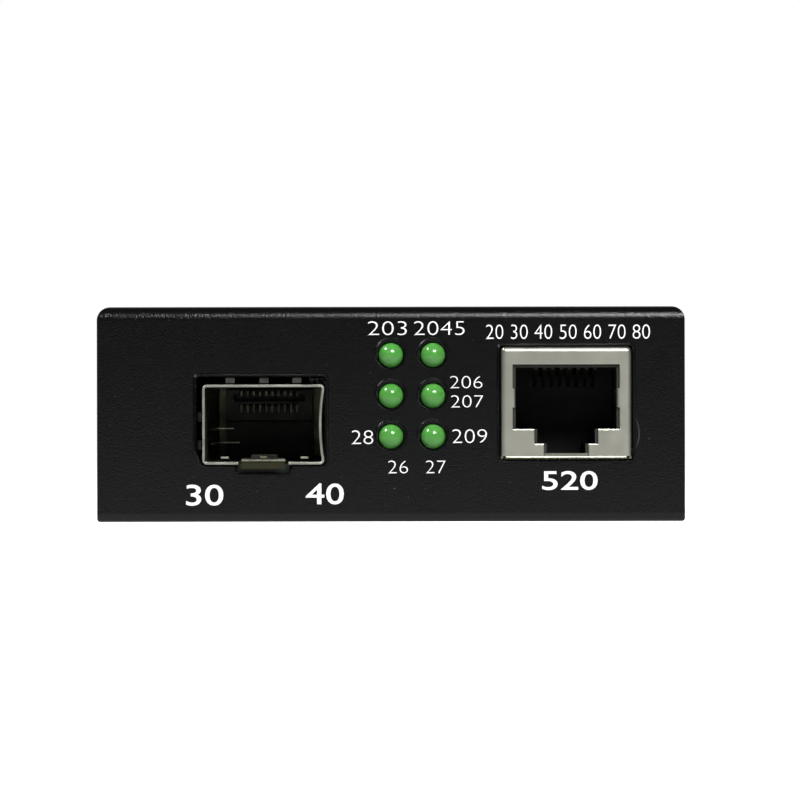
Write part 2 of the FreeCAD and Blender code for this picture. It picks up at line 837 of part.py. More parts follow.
def jack_housing():
    """The copper port's moulded housing, with a groove for each wire."""
    half = jack_width / 2 - jack_wall - jack_fit
    y0 = jack_front + jack_wall + jack_fit
    y1 = jack_front + jack_depth - jack_wall - jack_fit
    top = jack_top - jack_wall - jack_fit
    body = block(jack_x - half, jack_x + half, y0, y1, jack_bottom, top)
    fold = jack_width / 2 - jack_relief + jack_fit
    fold_end = jack_front + jack_flange + jack_fit
    fold_top = jack_bottom + jack_wall + jack_fit
    cuts = [
        jack_mouth(y0 - past, jack_front + jack_cavity, jack_reveal),
        block(jack_x - fold, jack_x + fold, y0 - past, fold_end, jack_bottom - past, fold_top),
    ]
    roof = top - (wire_roof - jack_wall - jack_fit) + wire_groove
    ceiling = jack_top - jack_mouth_top - jack_reveal
    for i, x in enumerate(jack_wires_x()):
        x0 = x - wire_width / 2 - wire_groove
        x1 = x + wire_width / 2 + wire_groove
        leg = jack_front + wire_rows[i % 2]
        leg_end = leg + wire_thickness + wire_groove
        cuts.append(block(x0, x1, jack_front + wire_front - wire_groove, leg_end, ceiling - past, roof))
        cuts.append(block(x0, x1, leg - wire_groove, leg_end, jack_bottom - past, roof))
    for side in (-1, 1):
        x = jack_x + side * (jack_mouth_width / 2 - jack_reveal / 2)
        reach = jack_grip_reach + jack_wall
        z1 = jack_top - jack_mouth_top - jack_grip_top + jack_fit
        z0 = z1 - jack_grip_height - 2 * jack_fit
        y1 = jack_front + jack_grip_length + jack_grip_room
        cuts.append(block(x - reach, x + reach, y0 - past, y1, z0, z1))
    pegs = []
    for side in (-1, 1):
        place = vec(jack_x + side * jack_peg_x, jack_front + jack_peg_y, board_bottom)
        profile = [(jack_peg_radius, 0), (jack_peg_radius, jack_bottom - board_bottom)]
        pegs.append(faceted(profile, jack_peg_sides, place, vec(0, 0, 1)))
    return joined([body.cut(cuts)] + pegs)


def jack_contacts():
    """Eight spring wires: up from the board, forward under the roof and back into the mouth."""
    wires = []
    roof = jack_top - wire_roof
    tip = jack_top - wire_tip_drop
    for i, x in enumerate(jack_wires_x()):
        leg = jack_front + wire_rows[i % 2]
        near = jack_front + wire_front
        path = [
            (leg + wire_thickness, pin_bottom, 0),
            (leg + wire_thickness, roof, 0),
            (near + wire_bend, roof, 0),
            (near, roof - wire_bend, 0),
            (near, roof - wire_hook, 0),
            (jack_front + wire_tip_depth, tip, 0),
        ]
        wires.append(folded(path[::-1], wire_thickness, "yz", x - wire_width / 2, x + wire_width / 2))
    return group(wires)


def cage_pins_y():
    """The places of the cage's press-in pins along Y."""
    first = cage_front + cage_pin_first
    pitch = (cage_depth - cage_pin_first - cage_pin_last) / (cage_pin_count - 1)
    return [first + i * pitch for i in range(cage_pin_count)]


def cage_shell():
    """The cage: a sheet folded to a tube, with a back wall, press-in pins and a bowed right wall."""
    half = cage_width / 2
    inside = half - cage_wall
    y0 = cage_front
    y1 = cage_front + cage_depth
    low = cage_bottom
    top = cage_top
    bend = cage_bend + cage_wall
    tube = slab(cage_x - half, cage_x + half, low, top, bend, "xz", y0, y1)
    floor = low + cage_wall
    roof = top - cage_wall
    tube = tube.cut(slab(cage_x - inside, cage_x + inside, floor, roof, cage_bend, "xz", y0, y1))
    dent_end = y0 + cage_dent_length
    dented = block(cage_x + inside - cage_dent, cage_x + half + past, y0, dent_end, low + bend, top - bend)
    open_rear = block(cage_x - half, cage_x + half, y0 + cage_floor_length, y1, low, low + bend)
    gap = tongue_width / 2 + tongue_slot
    root = y0 + tongue_length
    open_floor = block(cage_x - gap, cage_x + gap, y0, root, low, floor)
    back = block(cage_x - inside, cage_x + inside, y1 - cage_wall, y1, low + cage_back_gap, roof)
    parts = [tube.cut([dented, open_rear, open_floor]), back, dented_wall(dent_end), tongue(root)]
    for side in (-1, 1):
        x0 = cage_x + side * (half - cage_wall / 2) - cage_wall / 2
        for y in cage_pins_y():
            y0 = y - cage_pin_width / 2
            parts.append(block(x0, x0 + cage_wall, y0, y0 + cage_pin_width, pin_bottom, low + bend))
    return joined(parts)


def dented_wall(dent_end):
    """The bowed stretch of the cage's right wall, from the front edge to dent_end."""
    outer = cage_x + cage_width / 2
    inner = outer - cage_wall
    low = cage_bottom + cage_bend + cage_wall
    high = cage_top - cage_bend - cage_wall

    def side_edge(x, y, bow, z_from, z_to):
        curve = Part.BSplineCurve()
        poles = [vec(x, y, z_from), vec(x - 2 * bow, y, (low + high) / 2), vec(x, y, z_to)]
        curve.buildFromPolesMultsKnots(poles, [3, 3], [0, 1], False, 2)
        return curve.toShape()

    sections = []
    for y, bow in ((cage_front, cage_dent), (dent_end, 0)):
        rise = side_edge(outer, y, bow, low, high)
        fall = side_edge(inner, y, bow, high, low)
        across = Part.makeLine(vec(outer, y, high), vec(inner, y, high))
        close = Part.makeLine(vec(inner, y, low), vec(outer, y, low))
        sections.append(Part.Wire([rise, across, fall, close]))
    return Part.makeLoft(sections, True, True)


def tongue(root):
    """The sprung tongue in the cage's floor, with a hole for the module's latch and a lip at its front."""
    y0 = cage_front
    flat = cage_bottom + cage_wall
    lifted = flat + tongue_lift
    fold = y0 - tongue_proud
    path = [
        (fold + tongue_lip_lean, lifted - tongue_lip_drop, 0),
        (fold, lifted, tongue_lip_bend),
        (root - tongue_ramp, lifted, tongue_bend),
        (root - tongue_bend, flat, tongue_bend),
        (root + cage_wall, flat, 0),
    ]
    narrow = tongue_width / 2
    reach = narrow + tongue_lip_flare
    strip = folded(path, cage_wall, "yz", cage_x - reach, cage_x + reach)
    shoulder = fold + tongue_lip_lean + cage_wall
    right = [(reach, fold - past), (reach, shoulder)]
    right += [(narrow, shoulder + tongue_lip_flare), (narrow, root + past)]
    left = [(-x, y) for x, y in reversed(right)]
    low = lifted - tongue_lip_drop - past
    high = lifted + past
    strip = strip.common(prism([(cage_x + x, y, 0) for x, y in right + left], "xy", low, high))
    latch = tongue_latch / 2
    latch_y = y0 + tongue_latch_y
    hole = [(-latch, latch_y), (latch, latch_y), (0, latch_y - tongue_latch)]
    return strip.cut(prism([(cage_x + x, y, 0) for x, y in hole], "xy", low, high))


def spring_collar():
    """A thin band round the cage with fingers that bridge to the panel's cut-out."""
    t = spring_sheet
    half = cage_width / 2
    back = front + spring_back
    band_front = back - spring_band
    grown = half + t
    top = cage_top + t
    low = cage_bottom + spring_skirt
    bend = cage_bend + cage_wall
    arch = [(-grown, low, 0), (-grown, top, bend), (grown, top, bend), (grown, low, 0)]
    parts = [folded([(cage_x + x, z, r) for x, z, r in arch], t, "xz", band_front, back)]

    def finger(base, rise):
        return [
            (base, band_front + t),
            (base, front + spring_heel),
            (base + rise, front + spring_crest),
            (base + rise * spring_tip_rise, front + spring_tip),
        ]

    for x in spring_top_places:
        path = [(y, z, 0) for z, y in finger(top, cage_gap_top - t - spring_play)]
        x0 = cage_x + x - spring_width / 2
        parts.append(folded(path[::-1], t, "yz", x0, x0 + spring_width))
    for z in spring_side_places:
        path = [(x, y, 0) for x, y in finger(cage_x - grown, t + spring_play - cage_gap_left)]
        z0 = cage_bottom + z - spring_width / 2
        parts.append(folded(path[::-1], t, "xy", z0, z0 + spring_width))
    return joined(parts)


def host_x():
    return cage_x + host_offset


def host_ends():
    """The connector's front and rear, and the front of its stem."""
    y1 = cage_front + cage_depth - cage_wall - host_back_gap
    return y1 - host_length, y1, y1 - host_stem


def host_levels():
    """Underside and top of the nose, and the heights of the upper and lower leads."""
    top = cage_top - cage_wall - host_nose_drop
    under = top - host_nose
    return under, top, top - host_upper_drop, under + host_lower_rise


def host_body():
    """The 20-way connector at the end of the cage: a nose with a card slot on a stem."""
    half = host_width / 2
    x = host_x()
    y0, y1, stem = host_ends()
    under, top, upper, lower = host_levels()
    profile = [(y0, under, host_nose_bend), (stem, under, 0), (stem, board_top, 0)]
    profile += [(y1, board_top, 0), (y1, top, 0), (y0, top, host_nose_bend)]
    body = prism(profile, "yz", x - half, x + half)
    slot_half = host_slot_width / 2
    slot_low = (upper + lower - host_slot_height) / 2
    slot_end = y0 + host_slot_depth
    cuts = [block(x - slot_half, x + slot_half, y0 - past, slot_end, slot_low, slot_low + host_slot_height)]
    tips = y0 + host_lead_start + host_lead + host_groove
    row_half = ((host_count - 1) * host_pitch + host_lead_width) / 2 + host_groove
    left = x - row_half
    right = x + row_half
    leg = stem + host_wall
    leg_end = leg + host_lead + 2 * host_groove
    thick = host_lead + host_groove
    cuts.append(block(left, right, tips - past, y1 + past, upper - thick, upper + host_groove))
    cuts.append(block(left, right, tips - past, leg_end, lower - thick, lower + host_groove))
    cuts.append(block(left, right, leg, leg_end, board_top - past, lower + host_groove))
    cuts.append(block(left, right, stem - past, leg_end, board_top - past, board_top + thick))
    for dx in spread(host_count, host_pitch):
        x0 = x + dx - host_lead_width / 2 - host_groove
        x1 = x + dx + host_lead_width / 2 + host_groove
        for level, tip in ((upper, host_upper_tip), (lower, host_lower_tip)):
            cuts.append(block(x0, x1, y0 - past, tips, level - tip - host_groove, level + host_groove))
    return body.cut(cuts)


def host_leads():
    """Two rows of ten leads: the upper row comes down behind the stem, the lower inside it."""
    x = host_x()
    y0, y1, stem = host_ends()
    under, top, upper, lower = host_levels()
    start = y0 + host_lead_start
    behind = y1 + host_groove + host_lead
    inside = stem + host_wall + host_groove + host_lead
    foot = board_top + host_lead
    leads = []
    for dx in spread(host_count, host_pitch):
        x0 = x + dx - host_lead_width / 2
        x1 = x + dx + host_lead_width / 2
        path = [(start, upper - host_upper_tip, 0), (start, upper, 0)]
        path += [(behind, upper, 0), (behind, foot, 0), (behind + host_foot, foot, 0)]
        leads.append(folded(path, host_lead, "yz", x0, x1))
        path = [(start, lower - host_lower_tip, 0), (start, lower, 0)]
        path += [(inside, lower, 0), (inside, board_top, 0), (stem - host_foot, board_top, 0)]
        leads.append(folded(path, host_lead, "yz", x0, x1))
    return group(leads)


def light_body(x, z):
    """One 3 mm light: a domed barrel with a rim at its back."""
    r = light_radius
    wide = r + light_rim
    neck = light_length - light_rim_length
    tilts = [math.radians(90 * i / light_rings) for i in range(light_rings + 1)]
    profile = [(r * math.sin(t), r - r * math.cos(t)) for t in tilts[1:]]
    profile[0] = (profile[0][0], 0)
    profile += [(r, neck), (wide, neck), (wide, light_length)]
    return faceted(profile, light_sides, vec(x, front - light_proud, z), vec(0, 1, 0))


def light_lead_sites():
    """(x, height of the light, y) of each upright lead, the lowest row nearest the front."""
    start = front - light_proud + light_length
    sites = []
    for x in light_columns:
        for row, z in enumerate(light_rows):
            reach = start + light_lead_reach + row * light_lead_row
            for side in (-1, 1):
                sites.append((x + side * light_lead_pitch / 2, z, reach))
    return sites


def light_leads():
    """Two square leads from each light, bent down into the board."""
    start = front - light_proud + light_length
    leads = []
    for x, z, reach in light_lead_sites():
        end = reach + light_lead
        path = [(start, z + light_lead / 2, 0), (end, z + light_lead / 2, 0), (end, pin_bottom, 0)]
        leads.append(folded(path, light_lead, "yz", x - light_lead / 2, x + light_lead / 2))
    return group(leads)


def light_holder():
    """The block whose six holes grip the lights, on the board behind the panel."""
    x0 = min(light_columns) - holder_margin
    x1 = max(light_columns) + holder_margin
    z1 = max(light_rows) + holder_margin
    y0 = front + sheet + holder_gap
    y1 = front - light_proud + light_length - light_rim_length
    body = slab(x0, x1, board_top, z1, 0, "xz", y0, y1)
    grip_radius = (light_radius + light_fit) / math.cos(math.pi / holder_sides)
    profile = [(grip_radius, 0), (grip_radius, y1 - y0 + 2 * past)]
    cuts = []
    for x in light_columns:
        for z in light_rows:
            cuts.append(faceted(profile, holder_sides, vec(x, y0 - past, z), vec(0, 1, 0)))
    return body.cut(cuts)


def inlet_body():
    """The power inlet's moulded body, with its bore open at the rear panel."""
    face = rear + inlet_proud
    half = inlet_width / 2
    y0 = face - inlet_depth
    top = board_top + inlet_height
    corners = [(inlet_x - half, board_top, 0), (inlet_x + half, board_top, 0)]
    corners += [(inlet_x + half, top, inlet_corner), (inlet_x - half, top, inlet_corner)]
    shoulder = rear - sheet - inlet_seat
    body = prism(corners, "xz", y0, shoulder).fuse(inlet_nose(0, shoulder, face))
    bore_floor = vec(inlet_x, face - inlet_bore_depth, inlet_z)
    bore = rod(inlet_bore, bore_floor, vec(0, 1, 0), inlet_bore_depth + past)
    pin_start = vec(inlet_x, y0 - past, inlet_z)
    pin_hole = rod(inlet_pin_tail + inlet_fit, pin_start, vec(0, 1, 0), inlet_depth)
    slot_half = inlet_spring_width / 2 + inlet_fit
    floor = inlet_z - inlet_bore
    mouth = face - inlet_spring_ys[2] / 2
    slot_floor = floor - inlet_spring_sink - inlet_spring - inlet_fit
    left = inlet_x - slot_half
    right = inlet_x + slot_half
    spring_slot = block(left, right, y0 - past, mouth, slot_floor, floor + inlet_pin)
    leg = spring_leg_y()
    leg_y = leg - inlet_spring - inlet_fit
    leg_slot = block(left, right, leg_y, leg + inlet_fit, board_top - past, floor)
    return body.cut([bore, pin_hole, spring_slot, leg_slot])


def spring_leg_y():
    return rear + inlet_proud - inlet_depth + inlet_spring_leg


def inlet_pin_body():
    """The inlet's centre pin, shouldered on the bore's floor, with its blade down to the board."""
    face = rear + inlet_proud
    y0 = face - inlet_depth - inlet_blade
    floor = inlet_depth + inlet_blade - inlet_bore_depth
    length = floor + inlet_pin_length
    nose = inlet_pin_nose
    profile = [(0, 0), (inlet_pin_tail, 0), (inlet_pin_tail, floor), (inlet_pin, floor)]
    profile += [(inlet_pin, length - nose), (inlet_pin - nose, length), (0, length)]
    pin = turned(profile, vec(inlet_x, y0, inlet_z), vec(0, 1, 0))
    half = inlet_blade_width / 2
    blade_y = y0 - inlet_fit
    blade = block(inlet_x - half, inlet_x + half, blade_y, blade_y + inlet_blade, pin_bottom, inlet_z + half)
    return joined([pin, blade])


def inlet_spring_body():
    """The leaf spring that presses on the plug's barrel from below."""
    face = rear + inlet_proud
    floor = inlet_z - inlet_bore
    leg = spring_leg_y()
    far, crest, tip = inlet_spring_ys
    bends = inlet_spring_bends
    low = floor - inlet_spring_sink
    path = [
        (face - tip, low, 0),
        (face - crest, floor + inlet_spring_rise, bends[2]),
        (face - far, low, bends[1]),
        (leg, low, bends[0]),
        (leg, pin_bottom, 0),
    ]
    half = inlet_spring_width / 2
    return folded(path, inlet_spring, "yz", inlet_x - half, inlet_x + half)


def inlet_blade_sites():
    """(x, y, width, length) of the inlet's two legs in the board."""
    y0 = rear + inlet_proud - inlet_depth - inlet_blade
    leg = spring_leg_y()
    pin_leg = (inlet_x, y0 + inlet_blade / 2 - inlet_fit, inlet_blade_width, inlet_blade)
    return [pin_leg, (inlet_x, leg - inlet_spring / 2, inlet_spring_width, inlet_spring)]


def gull_lead(reach, height, thickness, width):
    """A lead that leaves a chip's side at height and steps down to the board, along +X."""
    knee = reach * lead_knee
    path = [(0, height, 0), (knee, height, 0), (knee, thickness, 0), (reach, thickness, 0)]
    return folded(path, thickness, "xz", -width / 2, width / 2)


def lead_row(count, pitch, lead, place, angle):
    """A row of leads at a chip's side, turned about Z by angle and moved to place."""
    row = []
    for y in spread(count, pitch):
        one = lead.copy()
        one.translate(vec(0, y, 0))
        one.rotate(vec(0, 0, 0), vec(0, 0, 1), angle)
        one.translate(place)
        row.append(one)
    return row


def moulded_chip(x, y, length, width, height, seat):
    """A chip's moulding, drawn in towards its top and its underside."""
    z0 = board_top + seat
    draft = height * chip_draft
    waist = z0 + height / 2
    rings = []
    for z, inset in ((z0, draft), (waist, 0), (z0 + height, draft)):
        a = length / 2 - inset
        b = width / 2 - inset
        ring = [vec(x - a, y - b, z), vec(x + a, y - b, z), vec(x + a, y + b, z), vec(x - a, y + b, z)]
        rings.append(Part.makePolygon(ring + ring[:1]))
    return Part.makeLoft(rings, True, True)


def switch_chip():
    x, y = chip_place
    return moulded_chip(x, y, chip_size, chip_size, chip_height, chip_seat)


def thermal_pad():
    x, y = chip_place
    z = board_top + chip_seat + chip_height
    half = chip_size / 2 - pad_inset
    return block(x - half, x + half, y - half, y + half, z, z + pad_thickness)


def heat_sink():
    """A finned block on the large chip."""
    x, y = chip_place
    z0 = board_top + chip_seat + chip_height + pad_thickness
    half = sink_size / 2
    parts = [block(x - half, x + half, y - half, y + half, z0, z0 + sink_base)]
    pitch = (sink_size - sink_fin) / (sink_fin_count - 1)
    for dx in spread(sink_fin_count, pitch):
        x0 = x + dx - sink_fin / 2
        parts.append(block(x0, x0 + sink_fin, y - half, y + half, z0, z0 + sink_height))
    return joined(parts)


def lan_transformer():
    x, y = transformer_place
    return moulded_chip(x, y, transformer_length, transformer_width, transformer_height, chip_seat)


def lan_transformer_leads():
    x, y = transformer_place
    height = chip_seat + transformer_height / 2 + transformer_lead / 2
    lead = gull_lead(transformer_lead_reach, height, transformer_lead, transformer_lead_width)
    leads = []
    for angle in (90, 270):
        place = vec(x, y + math.sin(math.radians(angle)) * transformer_width / 2, board_top)
        leads += lead_row(transformer_count, transformer_pitch, lead, place, angle)
    return group(leads)


def small_chip(place):
    x, y = place
    return moulded_chip(x, y, small_chip_length, small_chip_width, small_chip_height, chip_seat)


def small_chip_lead_rows(place):
    x, y = place
    height = chip_seat + small_chip_height / 2 + chip_lead / 2
    lead = gull_lead(chip_lead_reach, height, chip_lead, chip_lead_width)
    leads = []
    for angle in (90, 270):
        at = vec(x, y + math.sin(math.radians(angle)) * small_chip_width / 2, board_top)
        leads += lead_row(small_chip_count, small_chip_pitch, lead, at, angle)
    return leads


def small_chip_leads_all():
    return group(small_chip_lead_rows(regulator_place) + small_chip_lead_rows(memory_place))


def crystal_can():
    """The clock crystal: a flat can on a wider foot."""
    x, y = crystal_place
    a = crystal_length / 2
    b = crystal_width / 2
    m = crystal_rim
    z1 = board_top + crystal_foot
    foot = block(x - a, x + a, y - b, y + b, board_top, z1)
    can = block(x - a + m, x + a - m, y - b + m, y + b - m, z1, board_top + crystal_height)
    return joined([foot, can])


def power_inductor():
    """A pressed power inductor: a block with its upright corners cut."""
    x, y = inductor_place
    half = inductor_size / 2
    c = half - inductor_chamfer
    ring = [(-half, -c), (-c, -half), (c, -half), (half, -c), (half, c), (c, half), (-c, half), (-half, c)]
    return prism([(x + a, y + b, 0) for a, b in ring], "xy", board_top, board_top + inductor_height)


def capacitor(place):
    """An electrolytic can with a rolled groove near its foot."""
    r = can_radius
    g = can_groove
    z = can_groove_z
    profile = [(r, 0), (r, z - g), (r - g, z), (r, z + g), (r, can_height)]
    return faceted(profile, can_sides, vec(place[0], place[1], board_top + can_base), vec(0, 0, 1))


def capacitor_base(place):
    """The flat square base under a can, with two corners cut."""
    x, y = place
    half = can_radius + can_base_margin
    cut = half - can_base_chamfer
    ring = [(-half, -half), (cut, -half), (half, -cut), (half, cut), (cut, half), (-half, half)]
    return prism([(x + a, y + b, 0) for a, b in ring], "xy", board_top, board_top + can_base)


PARTS = {
    "chassis": chassis,
    "top_cover": top_cover,
    "cover_screws": cover_screws,
    "board_standoffs": board_standoffs,
    "board_screws": board_screws,
    "circuit_board": circuit_board,
    "copper_port_shell": jack_shell,
    "copper_port_housing": jack_housing,
    "copper_port_contacts": jack_contacts,
    "module_cage": cage_shell,
    "cage_spring_collar": spring_collar,
    "module_connector": host_body,
    "module_connector_leads": host_leads,
    "light_holder": light_holder,
    "light_leads": light_leads,
    "power_inlet": inlet_body,
    "power_inlet_pin": inlet_pin_body,
    "power_inlet_spring": inlet_spring_body,
    "switch_chip": switch_chip,
    "thermal_pad": thermal_pad,
    "heat_sink": heat_sink,
    "lan_transformer": lan_transformer,
    "lan_transformer_leads": lan_transformer_leads,
    "regulator_chip": lambda: small_chip(regulator_place),
    "memory_chip": lambda: small_chip(memory_place),
    "small_chip_leads": small_chip_leads_all,
    "clock_crystal": crystal_can,
    "power_inductor": power_inductor,
}

LIGHT_COLUMN_NAMES = ("left", "right")
LIGHT_ROW_NAMES = ("bottom", "middle", "top")
CAN_NAMES = ("left", "middle", "right")

os.makedirs("parts", exist_ok=True)
for column, x in zip(LIGHT_COLUMN_NAMES, light_columns):
    for row, z in zip(LIGHT_ROW_NAMES, light_rows):
        light_body(x, z).exportStep("parts/light_%s_%s.step" % (row, column))
for name, place in zip(CAN_NAMES, can_places):
    capacitor(place).exportStep("parts/capacitor_%s.step" % name)
    capacitor_base(place).exportStep("parts/capacitor_base_%s.step" % name)
for name, make in PARTS.items():
    shape = make()
    shape.exportStep("parts/%s.step" % name)
    print(name, len(shape.Solids), shape.isValid(), round(shape.Volume, 3))
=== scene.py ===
"""Looks of the fibre media converter: finishes, markings, small parts, stage, lights and camera."""

import math

import bmesh
import bpy
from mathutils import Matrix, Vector


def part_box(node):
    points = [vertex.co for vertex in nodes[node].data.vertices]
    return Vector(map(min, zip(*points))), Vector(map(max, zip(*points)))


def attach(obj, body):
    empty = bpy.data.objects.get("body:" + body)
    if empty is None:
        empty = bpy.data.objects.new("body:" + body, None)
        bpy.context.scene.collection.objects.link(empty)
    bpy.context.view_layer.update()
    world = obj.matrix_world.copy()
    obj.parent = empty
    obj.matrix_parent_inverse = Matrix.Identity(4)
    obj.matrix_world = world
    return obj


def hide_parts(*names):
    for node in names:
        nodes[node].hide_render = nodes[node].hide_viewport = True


MM = 0.001
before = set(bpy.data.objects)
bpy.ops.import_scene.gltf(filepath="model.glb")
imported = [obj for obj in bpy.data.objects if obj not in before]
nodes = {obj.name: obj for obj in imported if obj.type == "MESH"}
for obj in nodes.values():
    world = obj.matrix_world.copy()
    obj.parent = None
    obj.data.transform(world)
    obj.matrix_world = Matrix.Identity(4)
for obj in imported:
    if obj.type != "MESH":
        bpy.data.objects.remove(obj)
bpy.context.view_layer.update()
FACE_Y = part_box("chassis")[0].y  # the front panel's face


# Camera, level and square to the front panel
VIEW_DISTANCE = 590 * MM  # from the front panel
VIEW_WIDTH = 96.6 * MM  # what the frame spans at the front panel
VIEW_CENTRE = (1.1 * MM, 14.7 * MM)
VIEW_ROLL = math.radians(0.11)
SENSOR_WIDTH = 36
NEAREST = 0.01  # nothing nearer to the camera is drawn


def make_camera():
    """A long lens in front of the middle of the panel."""
    lens = bpy.data.cameras.new("camera")
    lens.sensor_width = SENSOR_WIDTH
    lens.lens = SENSOR_WIDTH * VIEW_DISTANCE / VIEW_WIDTH
    lens.clip_start = NEAREST
    camera = bpy.data.objects.new("camera", lens)
    bpy.context.scene.collection.objects.link(camera)
    camera.location = (VIEW_CENTRE[0], FACE_Y - VIEW_DISTANCE, VIEW_CENTRE[1])
    camera.rotation_euler = (math.radians(90), VIEW_ROLL, 0)
    bpy.context.scene.camera = camera


# Lights and stage
KEY_FROM = Vector((0.26, -0.72, 0.66))
SIDE_FROM = Vector((-0.596, -0.14, 0.791))
LAMP_DISTANCE = 0.6
KEY_SIZE = (0.3, 0.24)
SIDE_SIZE = (0.14, 0.14)
KEY_POWER = 5.8
SIDE_POWER = 2.8
ROOM_LEVEL = 0.06  # the dim part of the room
ROOM_WHITE = (1.0, 0.7, 1.0)  # level behind the object, and the directions' Y over which it rises
MIRRORED_WHITE = (0.8, 0.0, 0.5)  # the same as metal and glass show it
LIGHT_POOL_REACH = (0.08, 0.3)  # where the painted pool of light under the object fades out, from its middle
FLOOR_HALF = 4.0
FLOOR_WHITE = 0.93  # glow of the floor to the camera
FLOOR_POOL_GLOW = 0.4  # glow of the painted pool of light under the object, to metal and glass


def make_lamp(name, towards, power, size):
    """An oval soft light at a direction from the object."""
    lamp = bpy.data.lights.new(name, "AREA")
    lamp.shape = "ELLIPSE"
    lamp.size, lamp.size_y = size
    lamp.energy = power
    holder = bpy.data.objects.new(name, lamp)
    bpy.context.scene.collection.objects.link(holder)
    holder.location = towards.normalized() * LAMP_DISTANCE + Vector((0, FACE_Y, 0))
    holder.rotation_euler = towards.to_track_quat("Z", "Y").to_euler()


def seen_rays(tree):
    """1 for the rays of the camera, and 1 for those that metal and glass send on, else 0."""
    path = tree.nodes.new("ShaderNodeLightPath")
    sent = tree.nodes.new("ShaderNodeMath")
    sent.operation = "MAXIMUM"
    tree.links.new(path.outputs["Is Glossy Ray"], sent.inputs[0])
    tree.links.new(path.outputs["Is Transmission Ray"], sent.inputs[1])
    return path.outputs["Is Camera Ray"], sent.outputs[0]


def make_room():
    """A room that is white behind the object and dim in front of it, and white all round to the camera."""
    world = bpy.data.worlds.new("room")
    bpy.context.scene.world = world
    world.use_nodes = True
    tree = world.node_tree
    backdrop = tree.nodes["Background"]
    camera, sent = seen_rays(tree)
    place = tree.nodes.new("ShaderNodeTexCoord")
    split = tree.nodes.new("ShaderNodeSeparateXYZ")
    tree.links.new(place.outputs["Generated"], split.inputs[0])

    def level(white, start, end):
        """From dim in front to a white behind, between two values of the direction's Y."""
        node = tree.nodes.new("ShaderNodeMapRange")
        tree.links.new(split.outputs["Y"], node.inputs["Value"])
        node.inputs["From Min"].default_value = start
        node.inputs["From Max"].default_value = end
        node.inputs["To Min"].default_value = ROOM_LEVEL
        node.inputs["To Max"].default_value = white
        return node.outputs["Result"]

    def pick(ray, others, own):
        """One level for a kind of ray, and another for the rest."""
        node = tree.nodes.new("ShaderNodeMix")
        tree.links.new(ray, node.inputs["Factor"])
        tree.links.new(others, node.inputs["A"])
        if isinstance(own, float):
            node.inputs["B"].default_value = own
        else:
            tree.links.new(own, node.inputs["B"])
        return node.outputs["Result"]

    strength = pick(camera, pick(sent, level(*MIRRORED_WHITE), level(*ROOM_WHITE)), 1.0)
    tree.links.new(strength, backdrop.inputs["Strength"])
    backdrop.inputs["Color"].default_value = (1, 1, 1, 1)


NOISE_SPAN = (0.3, 0.7)  # where nearly all values of a noise lie


